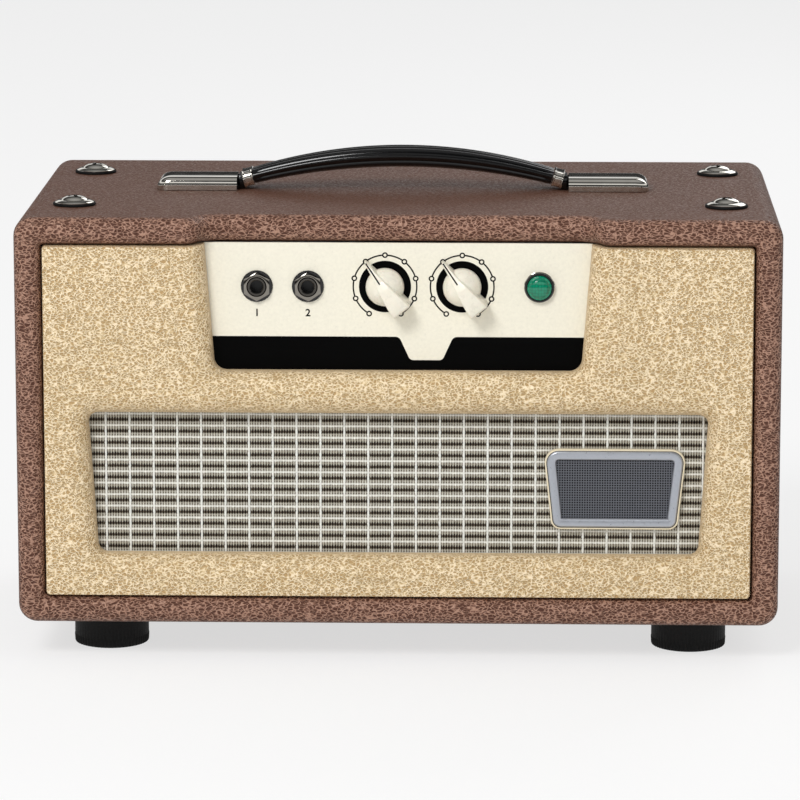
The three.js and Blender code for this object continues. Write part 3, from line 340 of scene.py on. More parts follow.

# %% [markdown]
# ### Embossed vinyl
# The covering is PVC on cloth, rolled hot between embossing rollers that press in a hide grain:
# a net of pale ridges round darker pits just under 2 mm across. The colours that follow the
# depth paint a highlight on the ridges and shade in the pits. One depth drives the bump, the
# gloss and both colours, so that they all agree.


# %% Vinyl in two colours
def embossed_vinyl(name, ridge_highlight, pit, pit_shade, slant_shade, stretch, share, span):
    """Vinyl with a hide grain. Its depth is the distance to the nearest edge of drawn-out Voronoi
    cells, plus a share of how far a noise lies from its middle value, so ridges follow the edges
    where the two agree. A pit is full depth from span on. The ramp paints a highlight on the
    ridges and shade in the pits. Cells are 1.6 mm apart, waves 2.3 mm and grit 0.7 mm, and the
    sheet's shade wanders a little over 38 mm. Seen along the sheet the ridges hide the pits, so
    the colour goes over to an even one that is darker than the grain: painted shade on the
    slanted top."""
    material, tree, surface = finish(name, Roughness=0.5, Specular_IOR_Level=0.35)
    here = add(tree, "TexCoord").outputs["Object"]
    flow = add(tree, "TexNoise", Vector=here, Scale=per_mm(5), Detail=1.0)
    bend = add(tree, "VectorMath", {"operation": "MULTIPLY_ADD"}, _0=flow.outputs["Color"],
               _1=(3 * MM,) * 3, _2=here)
    drawn = add(tree, "Mapping", Vector=bend.outputs[0], Rotation=(0.5, 0.55, 0.4),
                Scale=stretch)
    cells = add(tree, "TexVoronoi", {"feature": "DISTANCE_TO_EDGE"}, Vector=drawn.outputs[0],
                Scale=per_mm(1.6), Randomness=1.0)
    waves = add(tree, "TexNoise", Vector=drawn.outputs[0], Scale=per_mm(2.3), Detail=1.0,
                Roughness=0.5, Distortion=0.4)
    off_middle = add(tree, "Math", {"operation": "SUBTRACT"}, _0=waves.outputs[0], _1=0.5)
    ridged = add(tree, "Math", {"operation": "ABSOLUTE"}, _0=off_middle.outputs[0])
    both = add(tree, "Math", {"operation": "MULTIPLY_ADD"}, _0=ridged.outputs[0], _1=share,
               _2=cells.outputs["Distance"])
    grit = add(tree, "TexNoise", Vector=here, Scale=per_mm(0.7), Detail=2.0)
    rough = add(tree, "Math", {"operation": "MULTIPLY_ADD"}, _0=grit.outputs[0], _1=0.12,
                _2=both.outputs[0])
    depth = add(tree, "MapRange", {"interpolation_type": "SMOOTHSTEP"},
                Value=rough.outputs[0], From_Min=0.09, From_Max=span)
    # The pale ridge colour is a painted highlight, and the deep colour is painted shade in the pits.
    ramp = add(tree, "ValToRGB", Fac=depth.outputs[0])
    fill_stops(ramp, [(0.0, ridge_highlight), (0.3, pit), (1.0, pit_shade)])
    patch = add(tree, "TexNoise", Vector=here, Scale=per_mm(38), Detail=3.0)
    shade = add(tree, "MapRange", Value=patch.outputs[0], To_Min=0.95, To_Max=1.05)
    # Faces seen at a slant, such as the top, go over to a darker even colour: painted shade.
    slant = add(tree, "MapRange", Value=add(tree, "LayerWeight", Blend=0.5).outputs["Facing"],
                From_Min=0.45, From_Max=0.8)
    seen = add(tree, "MixRGB", Fac=slant.outputs[0], Color1=ramp.outputs[0],
               Color2=linear(slant_shade))
    tint = add(tree, "MixRGB", {"blend_type": "MULTIPLY"}, Fac=1.0, Color1=seen.outputs[0],
               Color2=shade.outputs[0])
    feed(tree, surface.inputs["Base Color"], tint.outputs[0])
    gloss = add(tree, "MapRange", Value=depth.outputs[0], To_Min=0.38, To_Max=0.7)
    feed(tree, surface.inputs["Roughness"], gloss.outputs[0])
    bump = add(tree, "Bump", {"invert": True}, Height=depth.outputs[0], Strength=1.0,
               Distance=0.42 * MM)
    feed(tree, surface.inputs["Normal"], bump.outputs[0])
    return material


# The ridge colour paints a highlight, the deep colour paints shade in the pits, and the even colour paints shade on
# slanted faces such as the top.
brown_vinyl = embossed_vinyl("brown_embossed_vinyl", ridge_highlight="#AE8773", pit="#785241",
                             pit_shade="#502E20", slant_shade="#6A4838", stretch=(0.62, 1.0, 1.25),
                             share=0.45, span=0.42)
cream_vinyl = embossed_vinyl("cream_embossed_vinyl", ridge_highlight="#FDE9C8", pit="#E8CE9F",
                             pit_shade="#BB9A6B", slant_shade="#E2C8A0", stretch=(0.8, 1.0, 1.25),
                             share=0.6, span=0.42)
print(brown_vinyl.name, cream_vinyl.name)

# %% [markdown]
# ## The cabinet's covering
# On the real box one sheet of vinyl is glued round the top and sides and turned in at both
# ends, over edges that were rounded with a router. It could be four boards with bevels, but
# their joints would show, so it is one closed skin: a section runs round the wall, and a path
# runs round the cabinet. The top board's front edge swings back over the control panel.


# %% The path round the cabinet
SIDE, FLOOR, TOP = high("top_board")[0], low("bottom_board")[2], high("top_board")[2]
FRONT_Y, BACK_Y = low("top_board")[1], high("top_board")[1]
INSIDE = low("right_side_board")[0]
WALL = SIDE - INSIDE
INNER_TOP, INNER_FLOOR = TOP - WALL, FLOOR + WALL
LIP = 6.2
OUTER_CORNER, INNER_CORNER = 9.5, 1.5
SCOOP_HALF, SCOOP_DEPTH, SHOULDER, SHOULDER_R = 101.0, 13.0, 7, 9


def scooped_edge():
    """The top board's front edge as [x, y] from left to right: straight, then back by the
    scoop's depth between two rounded shoulders, and straight again."""
    end, inner, back_y = SIDE - OUTER_CORNER - 1.0, SCOOP_HALF - SHOULDER, FRONT_Y + SCOOP_DEPTH
    corners = [(-end, FRONT_Y, 0), (-SCOOP_HALF, FRONT_Y, SHOULDER_R),
               (-inner, back_y, SHOULDER_R), (inner, back_y, SHOULDER_R),
               (SCOOP_HALF, FRONT_Y, SHOULDER_R), (end, FRONT_Y, 0)]
    return rounded(corners, steps=9, closed=False)


def corner_path(sx, sz, start):
    """A corner of the cabinet, sx to the right and sz up: points [outer x, outer z, inner x,
    inner z, front y, the front edge's facing x, y] on two quarter circles that start at the same
    angle and run clockwise."""
    a = np.radians(np.linspace(start, start - 90, 9))
    arc = np.stack([np.cos(a), np.sin(a)], 1)
    z_out = TOP - OUTER_CORNER if sz > 0 else FLOOR + OUTER_CORNER
    z_in = INNER_TOP - INNER_CORNER if sz > 0 else INNER_FLOOR + INNER_CORNER
    outer = (sx * (SIDE - OUTER_CORNER), z_out) + OUTER_CORNER * arc
    inner = (sx * (INSIDE - INNER_CORNER), z_in) + INNER_CORNER * arc
    return np.column_stack([outer, inner, np.tile((FRONT_Y, 0, -1), (9, 1))])


def top_path():
    """The same along the top board: its front edge faces square to its run."""
    edge = scooped_edge()
    along = np.gradient(edge, axis=0)
    along /= np.linalg.norm(along, axis=1)[:, None]
    reach = INSIDE - INNER_CORNER - 0.6
    x, flat = edge[:, 0], np.ones(len(edge))
    return np.column_stack([x, flat * TOP, np.clip(x, -reach, reach), flat * INNER_TOP,
                            edge[:, 1], along[:, 1], -along[:, 0]])


def wrap_rings():
    """Rings of the skin: each goes round the cabinet's path, and together they go round the
    wall. A lip is two quarter rounds with a flat between them. On one, a point is the wall's
    middle plus its outward direction times (half the wall - LIP + LIP * cos), plus the edge's
    facing times (LIP * sin - LIP); the other has the outward direction the other way."""
    path = np.concatenate([corner_path(-1, 1, 180), top_path(), corner_path(1, 1, 90),
                           corner_path(1, -1, 0), corner_path(-1, -1, -90)])
    outer, inner, front_y, facing = path[:, :2], path[:, 2:4], path[:, 4], path[:, 5:]
    n = len(path)
    centre = np.zeros((n, 3))
    centre[:, [0, 2]] = (outer + inner) / 2
    half = np.zeros((n, 3))
    half[:, [0, 2]] = (outer - inner) / 2
    length = np.linalg.norm(half, axis=1)[:, None]
    outward = half / length
    quarter = [(length - LIP + LIP * math.cos(a), LIP * math.sin(a) - LIP)
               for a in np.radians(np.linspace(0, 90, 8))]
    forward = np.column_stack([facing, np.zeros(n)])
    backward = np.array([[0, 1.0, 0]])
    rings = []
    for y, edge, order in ((front_y, forward, 1), (BACK_Y, backward, -1)):
        centre[:, 1] = y
        lip = [centre + outward * aside + edge * ahead for aside, ahead in quarter]
        lip += [centre - outward * aside + edge * ahead for aside, ahead in quarter[::-1]]
        rings += lip[::order]
    return np.array(rings)


make("cabinet_wrap", [(stack(wrap_rings(), loop=True), brown_vinyl)],
     replaces=["top_board", "bottom_board", "left_side_board", "right_side_board"])

# %% [markdown]
# The front board is covered in the cream vinyl. Both windows have edges rolled to a large
# quarter round, so the bar between them is almost half a pipe. An outline whose windows grow
# with the inset, carried round that quarter, gives the board in one piece.

# %% The front board
BOARD_FRONT, BOARD_BACK = low("baffle_board")[1], high("baffle_board")[1]
ROLL, TRIM = 10.6, 1.0
WINDOW_TOP, WINDOW_BOTTOM, WINDOW_FLOOR, WINDOW_R = 96.6, 91.5, TOP - 78, 6.5
GRILLE_TOP, GRILLE_BOTTOM, GRILLE_R = (155.5, TOP - 99.5), (150.8, FLOOR + 34.5), 5


def front_board_loops(inset):
    """The board's outline, with the control window cut in from its top, and the grille's window.
    Windows widen by inset; the outer edge draws in by a small share of it."""
    half, floor, roof = high("baffle_board")[0], low("baffle_board")[2], high("baffle_board")[2]
    trim = inset * TRIM / ROLL
    lean = (WINDOW_TOP - WINDOW_BOTTOM) / (roof - WINDOW_FLOOR)
    side = inset * math.hypot(1, lean)
    z = WINDOW_FLOOR - inset
    low_x = WINDOW_BOTTOM + side - lean * inset
    high_x = low_x + lean * (roof - trim - z)
    outline = rounded([
        (-half + trim, floor + trim, 2), (half - trim, floor + trim, 2),
        (half - trim, roof - trim, 2), (high_x, roof - trim, 0), (low_x, z, WINDOW_R + inset),
        (-low_x, z, WINDOW_R + inset), (-high_x, roof - trim, 0),
        (-half + trim, roof - trim, 2)], 12)
    (tx, tz), (bx, bz) = GRILLE_TOP, GRILLE_BOTTOM
    slope = (tx - bx) / (tz - bz)
    out = inset * math.hypot(1, slope)
    low_x, high_x, r = bx + out - slope * inset, tx + out + slope * inset, GRILLE_R + inset
    window = rounded([(-low_x, bz - inset, r), (low_x, bz - inset, r),
                      (high_x, tz + inset, r), (-high_x, tz + inset, r)], 12)
    return [outline, window]


angles = np.radians(np.linspace(0, 90, 11))
roll_edge = [(0, -(BOARD_BACK - BOARD_FRONT))] + [
    (ROLL * (1 - math.cos(a)), -ROLL * (1 - math.sin(a))) for a in angles]
board = put(plate(front_board_loops, roll_edge), origin=(0, BOARD_FRONT, 0), **FRONT)
make("front_board_covering", [(board, cream_vinyl)],
     replaces=["baffle_board"])

# %% [markdown]
# ### Plainer finishes
# Metals keep the default IOR and differ in tint and roughness. Chrome is nearly a mirror, the
# input sockets' nuts have a darker one whose tint paints the dark reflection they show, nickel
# and zinc are softer, and the chassis is plated sheet with fine rolling lines. Plastics, ink and
# rubber are the same function without the metal. Each gets a little unevenness, because an even
# surface looks like a drawing.


# %% Metals, plastics and rubber
def uneven(name, colour, rough, metallic=0.0, spread=0.1, grain=6.0, strength=0.0, stretch=None,
           **shader):
    """One colour whose roughness varies by a soft noise with patches of grain mm, and whose
    relief, if strength is given, follows the same noise. stretch draws the noise out."""
    material, tree, surface = finish(name, Metallic=metallic, **shader)
    surface.inputs["Base Color"].default_value = linear(colour)
    here = add(tree, "TexCoord").outputs["Object"]
    if stretch:
        here = add(tree, "Mapping", Vector=here, Scale=stretch).outputs[0]
    noise = add(tree, "TexNoise", Vector=here, Scale=per_mm(grain), Detail=3.0, Roughness=0.6)
    gloss = add(tree, "MapRange", Value=noise.outputs[0], From_Min=0.3, From_Max=0.7,
                To_Min=rough * (1 - spread), To_Max=rough * (1 + spread))
    feed(tree, surface.inputs["Roughness"], gloss.outputs[0])
    shade = add(tree, "MapRange", Value=noise.outputs[0], From_Min=0.3, From_Max=0.7,
                To_Min=1 - spread * 0.35, To_Max=1.0)
    tint = add(tree, "MixRGB", {"blend_type": "MULTIPLY"}, Fac=1.0, Color1=linear(colour),
               Color2=shade.outputs[0])
    feed(tree, surface.inputs["Base Color"], tint.outputs[0])
    if strength:
        bump = add(tree, "Bump", Height=noise.outputs[0], Strength=strength,
                   Distance=0.1 * MM)
        feed(tree, surface.inputs["Normal"], bump.outputs[0])
    return material


chrome = uneven("chromium_plate", "#D9D5CC", 0.07, 1.0, 0.3, 9)
nickel = uneven("nickel_plate", "#BDBAB2", 0.24, 1.0, 0.25, 2)
# Dark nickel serves the jack bushes and, on cut recesses, paints shade.
dark_nickel_and_recess_shade = uneven("black_nickel_plate_and_recess_shade", "#4E4B47", 0.2, 1.0, 0.25, 2)
# The input nuts' darker chrome tint is a painted dark reflection.
reflection_dark_chrome = uneven("reflection_darkened_chromium_plate", "#8C877F", 0.09, 1.0, 0.3, 5)
zinc = uneven("bright_zinc_plate", "#A9ADB1", 0.34, 1.0, 0.2, 3, 0.15)
chassis_steel = uneven("rolled_steel_sheet", "#A7AAAC", 0.42, 1.0, 0.18, 1.2, 0.2,
                       stretch=(0.04, 1, 1))
black_abs = uneven("moulded_black_ABS", "#171717", 0.42, 0.0, 0.2, 0.8, 0.12)
# Gloss black serves the real black washers and, on the pilot bezel, a painted dark reflection of chrome.
gloss_black_and_dark_reflection = uneven("gloss_black_phenolic_and_painted_reflection", "#0D0D0D", 0.2, 0.0, 0.3, 5)
foot_rubber = uneven("black_foot_rubber", "#0A0A0A", 0.7, 0.0, 0.15, 0.6, 0.5,
                     Specular_IOR_Level=0.25)
ivory = uneven("moulded_ivory_urea", "#F3EDDC", 0.3, 0.0, 0.2, 4, Coat_Weight=0.25,
               Coat_Roughness=0.12, Subsurface_Weight=0.05, Subsurface_Scale=0.004)
black_ink = uneven("screen_printed_black_ink", "#040404", 0.6, 0.0, 0.15, 1,
                   Specular_IOR_Level=0.04)
cream_enamel = uneven("stoved_cream_enamel", "#F5F0DE", 0.34, 0.0, 0.2, 1.6, 0.06)
steatite = uneven("glazed_steatite_ceramic", "#E7E3D6", 0.35, 0.0, 0.2, 3, 0.1)
core_iron = uneven("lacquered_iron_core", "#2B2B2E", 0.45, 0.5, 0.25, 0.5, 0.5,
                   stretch=(1, 1, 0.05))
laminate = uneven("green_epoxy_laminate", "#2C5C3F", 0.45, 0.0, 0.2, 2, 0.1)
print("chrome and", len(bpy.data.materials) - 3, "other finishes")

# %% [markdown]
# ### The handle's rubber
# The grip is black PVC moulded over a steel strap. It is smooth and slightly oily to the eye, so
# it is glossier than the feet, with a faint grain.

# %% Handle rubber
grip_rubber = uneven("moulded_black_PVC_grip", "#030304", 0.13, 0.0, 0.2, 1.5, 0.02,
                     Specular_IOR_Level=0.45)
print(grip_rubber.name)

# %% [markdown]
# ## The grille cloth
# The cloth is woven: stiff white threads cross it every 12 mm upright, and a white thread runs
# along every row. Between them lie silver and beige threads and one dark brown streak. The
# relief is a real height over a grid whose lines are crowded where a thread stands up, because
# evenly spaced lines would need ten times as many faces.

# %% Cloth grid
THREAD, ROW, WARPS = 12.0, 5.91, 9
UPRIGHT_HALF, UPRIGHT_HIGH = 0.6, 0.38
ACROSS_HALF, ACROSS_HIGH = 0.5, 0.26
CLOTH_LOW, CLOTH_HIGH = low("grille_cloth"), high("grille_cloth")
CLOTH_FACE, CLOTH_THICK = CLOTH_HIGH[1] - 0.5, 0.3
FIRST_THREAD, FIRST_ROW = -147.0, 117.9
print("cloth from", CLOTH_LOW.round(1), "to", CLOTH_HIGH.round(1))


def crowded(start, end, first, pitch, half, between):
    """Grid lines from start to end that repeat every pitch: at each thread's centre, at its
    edges, half a thread away, and midway there, and then evenly between two threads."""
    near = half * np.array([-1, -0.5, 0, 0.5, 1])
    gap = np.linspace(near[-1], pitch + near[0], between + 2)[1:-1]
    offsets = np.concatenate([near, gap])
    count = np.arange(math.floor((start - first) / pitch) - 1, math.ceil((end - first) / pitch) + 1)
    lines = (first + count[:, None] * pitch + offsets).ravel()
    return np.concatenate([[start], lines[(lines > start + 0.2) & (lines < end - 0.2)], [end]])


def thread_bulge(distance, half):
    """A thread's round back over its flat surroundings: the square root of one minus the squared
    share of its half width, and nothing outside it."""
    return np.sqrt(np.clip(1 - (distance / half) ** 2, 0, 1))


def woven_cloth():
    """The cloth's front as a grid over x and z. Its height is the larger of the upright thread's
    bulge and the row's thread's, plus a squared sine for the ribs between two rows and a slow
    wave of 0.1 mm for the slack of the cloth."""
    xs = crowded(CLOTH_LOW[0], CLOTH_HIGH[0], FIRST_THREAD, THREAD, UPRIGHT_HALF, 5)
    zs = crowded(CLOTH_LOW[2], CLOTH_HIGH[2], FIRST_ROW, ROW, ACROSS_HALF, 5)
    x, z = np.meshgrid(xs, zs, indexing="ij")
    wander = 0.12 * np.sin(z * 1.7 + np.round((x - FIRST_THREAD) / THREAD) * 2.1)
    across = np.abs((x - FIRST_THREAD + wander + THREAD / 2) % THREAD - THREAD / 2)
    down = (FIRST_ROW - z) % ROW
    upright = UPRIGHT_HIGH * thread_bulge(across, UPRIGHT_HALF)
    row = ACROSS_HIGH * thread_bulge(np.minimum(down, ROW - down), ACROSS_HALF)
    ribs = 0.1 * np.sin(down / ROW * 3 * 2 * math.pi) ** 2
    sag = 0.1 * np.sin(x * 0.11) * np.sin(z * 0.17)
    height = np.maximum(upright, row) + ribs + sag
    points = np.stack([x, CLOTH_FACE - height, z], -1)
    return points.reshape(-1, 3), grid_squares(len(xs), len(zs), False, False)


# %% [markdown]
# The colours come from the same two distances. Thin warp threads of 1.33 mm stand over the weft:
# one colour ramp down the row serves the threads and another the gaps between them, so the dark
# streak breaks into dashes as a woven one does.


# %% Cloth finish
def woven_finish():
    """Woven cloth: distances to the upright thread and down the row pick from two ramps."""
    material, tree, surface = finish("woven_silver_and_brown_grille_cloth", Roughness=0.85,
                                     Sheen_Weight=0.15, Specular_IOR_Level=0.2)
    place = add(tree, "SeparateXYZ", _0=add(tree, "TexCoord").outputs["Object"])
    x, z = place.outputs[0], place.outputs[2]
    fuzz = add(tree, "TexNoise", Vector=add(tree, "TexCoord").outputs["Object"],
               Scale=per_mm(1.1), Detail=2.0)
    slip = add(tree, "Math", {"operation": "MULTIPLY_ADD"}, _0=fuzz.outputs[0], _1=0.5 * MM,
               _2=-0.25 * MM)
    z_slipped = add(tree, "Math", {"operation": "ADD"}, _0=z, _1=slip.outputs[0])
    x_slipped = add(tree, "Math", {"operation": "ADD"}, _0=x, _1=slip.outputs[0])
    down = add(tree, "Math", {"operation": "SUBTRACT"}, _0=FIRST_ROW * MM,
               _1=z_slipped.outputs[0])
    row = add(tree, "Math", {"operation": "WRAP"}, _0=down.outputs[0], _1=ROW * MM, _2=0.0)
    share = add(tree, "Math", {"operation": "DIVIDE"}, _0=row.outputs[0], _1=ROW * MM)
    ramps = []
    for tones in (
        ((0.0, "#F4F3EE"), (0.05, "#F4F3EE"), (0.09, "#C9C7BC"), (0.36, "#B9B5A8"),
         (0.42, "#63574A"), (0.57, "#514536"), (0.63, "#AFAA9B"), (0.74, "#D2D0C6"),
         (0.88, "#CBC9BE"), (0.95, "#F4F3EE"), (1.0, "#F4F3EE")),
        ((0.0, "#E8E6DE"), (0.06, "#C2BEB1"), (0.11, "#6E6658"), (0.24, "#8D8676"),
         (0.31, "#4B4133"), (0.39, "#100A05"), (0.60, "#0C0703"), (0.66, "#7A7263"),
         (0.74, "#A39D8E"), (0.80, "#3A3024"), (0.86, "#7F7868"), (0.94, "#D6D3C8"),
         (1.0, "#E8E6DE"))):
        ramp = add(tree, "ValToRGB", Fac=share.outputs[0])
        fill_stops(ramp, tones)
        ramps.append(ramp.outputs[0])
    offset = add(tree, "Math", {"operation": "SUBTRACT"}, _0=x_slipped.outputs[0],
                 _1=FIRST_THREAD * MM)
    warp = add(tree, "Math", {"operation": "PINGPONG"}, _0=offset.outputs[0],
               _1=THREAD / WARPS / 2 * MM)
    on_thread = add(tree, "MapRange", Value=warp.outputs[0], From_Min=0.2 * MM,
                    From_Max=0.34 * MM)
    weave = add(tree, "MixRGB", Fac=on_thread.outputs[0], Color1=ramps[0], Color2=ramps[1])
    upright = add(tree, "Math", {"operation": "PINGPONG"}, _0=offset.outputs[0],
                  _1=THREAD / 2 * MM)
    white = add(tree, "MapRange", Value=upright.outputs[0], From_Min=0.62 * MM,
                From_Max=0.42 * MM)
    crossed = add(tree, "MixRGB", Fac=white.outputs[0], Color1=weave.outputs[0],
                  Color2=linear("#F0F0EA"))
    tone = add(tree, "MapRange", Value=fuzz.outputs[0], From_Min=0.25, From_Max=0.75,
               To_Min=0.84, To_Max=1.1)
    toned = add(tree, "MixRGB", {"blend_type": "MULTIPLY"}, Fac=1.0, Color1=crossed.outputs[0],
                Color2=tone.outputs[0])
    feed(tree, surface.inputs["Base Color"], toned.outputs[0])
    lift = add(tree, "Math", {"operation": "MULTIPLY_ADD"}, _0=on_thread.outputs[0], _1=-0.6,
               _2=fuzz.outputs[0])
    bump = add(tree, "Bump", Height=lift.outputs[0], Strength=0.6, Distance=0.25 * MM)
    feed(tree, surface.inputs["Normal"], bump.outputs[0])
    return material


cloth_finish = woven_finish()
grille_cloth = make("woven_grille_cloth", [(woven_cloth(), cloth_finish)],
                    replaces=["grille_cloth"], outward=False)
thickness = grille_cloth.modifiers.new("cloth thickness", "SOLIDIFY")
thickness.thickness, thickness.offset = CLOTH_THICK * MM, 1.0

# %% [markdown]
# ## The blank badge
# A die-cast frame round a dark field with a fine screen: rings of one outline, drawn in step by
# step while the height goes up over the frame and down into the field. The casting is painted
# silver, which gives a cooler and softer sheen than plating, between a cream enamel line outside
# and a black one that sets it off.

# %% Badge
BADGE_TAPER, SCREEN_PITCH = 4.5, 1.26
badge_x, _, badge_z = middle("badge_plate")
badge_place = dict(origin=(badge_x, high("badge_plate")[1], badge_z), **FRONT)
half_wide, _, half_tall = (high("badge_plate") - low("badge_plate")) / 2
badge_outline = rounded([
    (-half_wide + BADGE_TAPER, -half_tall, 5), (half_wide - BADGE_TAPER, -half_tall, 5),
    (half_wide, half_tall, 7), (-half_wide, half_tall, 7)], 8)


def framed(section):
    """A closed section of [inset, height] pairs carried round the badge's outline."""
    rings = [np.column_stack([drawn_in(badge_outline, inset), np.full(len(badge_outline), height)])
             for inset, height in section]
    return put(stack(rings, loop=True), **badge_place)


def screened_field():
    """Dark lacquer with a square wire screen. A real screen is finer than this one, which is
    drawn just coarse enough to show."""
    material, tree, surface = finish("screened_blue_black_lacquer", Roughness=0.55,
                                     Specular_IOR_Level=0.15)
    place = add(tree, "SeparateXYZ", _0=add(tree, "TexCoord").outputs["Object"])
    lines = [add(tree, "Math", {"operation": "PINGPONG"}, _0=place.outputs[axis],
                 _1=SCREEN_PITCH / 2 * MM) for axis in (0, 2)]
    nearest = add(tree, "Math", {"operation": "MINIMUM"}, _0=lines[0].outputs[0],
                  _1=lines[1].outputs[0])
    wire = add(tree, "MapRange", Value=nearest.outputs[0], From_Min=0.2 * MM,
               From_Max=0.3 * MM, To_Min=1.0, To_Max=0.0)
    tint = add(tree, "MixRGB", Fac=wire.outputs[0], Color1=linear("#040507"),
               Color2=linear("#62646B"))
    feed(tree, surface.inputs["Base Color"], tint.outputs[0])
    bump = add(tree, "Bump", Height=wire.outputs[0], Strength=0.5, Distance=0.15 * MM)
    feed(tree, surface.inputs["Normal"], bump.outputs[0])
    return material


cast_silver = uneven("painted_silver_casting", "#B4B8C0", 0.34, 0.75, 0.2, 1.2, 0.15)
cream_line = uneven("cream_enamel_line", "#E8DCC0", 0.4, 0.0, 0.1, 2)
make("blank_badge", [
    (framed([(0, 0.2), (0, 2.3), (0.35, 2.6), (0.8, 2.6), (0.9, 0.2)]), cream_line),
    (framed([(0.8, 0.2), (0.8, 2.3), (1.2, 2.3), (1.2, 0.2)]), black_ink),
    (framed([(1.1, 0.2), (1.1, 2.3), (1.6, 2.85), (2.1, 3.0), (4.7, 2.75), (5.2, 2.5), (5.6, 1.9),
             (5.7, 0.2)]), cast_silver),
    (put(plate(lambda inset: [drawn_in(badge_outline, 5.2 + inset)],
               [(0, 0.4), (0, 1.4)]), **badge_place), screened_field())],
    replaces=["badge_plate"])

# %% [markdown]
# ## The control panel's print
# The panel is enamelled sheet, and its band, scales and rings are screen-printed in black ink.
# Ink could be drawn in the material, but as a mesh 0.06 mm thick its edges stay sharp at any
# size. A scale is nine open dots joined by a thin arc, from 150 degrees left of upright to 150
# degrees right. A broad ring goes round the knob inside it. Only plain numbers are lettered.


# %% Printed shapes
INK = [(0, 0.02), (0, 0.08)]
PANEL_FACE = low("control_panel")[1]
CONTROL_Z = middle("volume_shaft")[2]
LOWER_BAND, TAB_FLOOR = (141.3, 163.8), 152
SCALE_R, SCALE_LINE, DOT_R, DOT_LINE = 15.85, 0.72, 1.45, 0.68


def ring_part(inner, outer, start, end, a=0.0, b=0.0, steps=24):
    """Ink between two radii and two angles, in degrees clockwise from upright."""
    t = np.radians(np.linspace(start, end, steps))
    arc = np.stack([np.sin(t), np.cos(t)], 1)
    loop = np.concatenate([outer * arc, inner * arc[::-1]]) + (a, b)
    return plate(lambda inset: [loop], INK)


def ring(inner, outer, a=0.0, b=0.0, steps=40):
    """Ink between two radii, all the way round [a, b]."""
    t = around(steps)
    circle = np.stack([np.cos(t), np.sin(t)], 1)
    return plate(lambda inset: [outer * circle + (a, b), inner * circle + (a, b)], INK)


def scale_print(a, b, end=150, dots=9):
    """Open dots on a circle round [a, b], from end degrees left of upright to end degrees right,
    with thin arcs between them. An arc stops a dot's radius short of each dot's middle."""
    stops = np.linspace(-end, end, dots)
    clear = math.degrees(DOT_R / SCALE_R)
    inner, outer = SCALE_R - SCALE_LINE / 2, SCALE_R + SCALE_LINE / 2
    shapes = [ring_part(inner, outer, s + clear, e - clear, a, b)
              for s, e in zip(stops[:-1], stops[1:])]
    shapes += [ring(DOT_R - DOT_LINE, DOT_R, a + SCALE_R * math.sin(t),
                    b + SCALE_R * math.cos(t), 20) for t in np.radians(stops)]
    return together(*shapes)


def lettered(text, size, a, b):
    """Ink in the shape of plain numbers, centred on [a, b]: a text object made a mesh."""
    curve = bpy.data.curves.new("number", "FONT")
    curve.body, curve.size, curve.extrude = text, size, 0.03
    curve.align_x, curve.align_y, curve.offset = "CENTER", "CENTER", 0.02 * size
    helper = bpy.data.objects.new("number", curve)
    mesh = helper.to_mesh()
    points = np.array([v.co[:] for v in mesh.vertices]) + (a, b, 0.05)
    faces = [list(p.vertices) for p in mesh.polygons]
    helper.to_mesh_clear()
    bpy.data.objects.remove(helper)
    return points, faces


def lower_band():
    """The broad black band with a cream tab dropping into it, its shoulders rounded."""
    floor, roof = LOWER_BAND
    half = high("control_panel")[0] - 0.5
    loop = rounded([(-half, floor), (half, floor), (half, roof), (27.6, roof, 3),
                    (22.2, TAB_FLOOR, 2.6), (6.0, TAB_FLOOR, 2.6), (0.6, roof, 3), (-half, roof)])
    return plate(lambda inset: [loop], INK)


jack_x = [middle(f"jack_nut_{i}")[0] for i in (1, 2)]
knob_x = [middle("volume_shaft")[0], middle("tone_shaft")[0]]
ink = [lower_band()]
for x in knob_x:
    ink += [scale_print(x, CONTROL_Z), ring(9.4, 13.0, x, CONTROL_Z, 96)]
ink += [lettered(str(i + 1), 5.2, x, CONTROL_Z - 13.6) for i, x in enumerate(jack_x)]
make("control_panel_print",
     [(put(together(*ink), origin=(0, PANEL_FACE, 0), **FRONT), black_ink)],
     outward=False)

# %% [markdown]
# ## The pointer knobs
# Each has a round skirt with a pointer across it that is broad and high at the tail and runs
# down to a narrow nose with a black line. The skirt is turned, and the pointer is a stack of
# trapezoids along its length, given by two widths and a height, whose upper corners are rounded.


# %% Knobs
KNOB_LOW, REST_TURN = 0.8, 37.5
POINTER = np.array([  # along the pointer, half width at its foot, half width on top, height
    (-14.5, 4.9, 4.2, 10.6), (-14.3, 5.4, 4.8, 11.6), (-13.8, 5.7, 5.0, 12.3),
    (-12.5, 5.75, 4.9, 12.9), (-10, 5.5, 4.6, 13.5), (-6, 5.0, 4.0, 13.9), (-3, 4.6, 3.5, 13.9), (0, 4.2, 3.0, 13.6),
    (4, 3.4, 2.2, 12.1), (8, 2.5, 1.45, 9.4), (12, 1.7, 0.85, 6.9), (14.5, 1.2, 0.55, 5.5),
    (15.7, 0.95, 0.4, 4.8), (16.15, 0.5, 0.2, 4.1)])


def pointer_bar():
    """Trapezoids across the pointer; the round of their upper corners is a fifth of the top."""
    along = np.concatenate([np.linspace(-14.5, -13.8, 6), np.linspace(-13.4, 15.5, 58),
                            np.linspace(15.7, 16.15, 4)])
    rings = []
    for b in along:
        foot, top, tall = (np.interp(b, POINTER[:, 0], POINTER[:, k]) for k in (1, 2, 3))
        section = rounded([(-foot, KNOB_LOW, 0.1 * foot), (-top, tall, 0.2 * top),
                           (top, tall, 0.2 * top), (foot, KNOB_LOW, 0.1 * foot)], 4)
        rings.append(np.column_stack([section[:, 0], np.full(len(section), b), section[:, 1]]))
    return stack(np.array(rings))


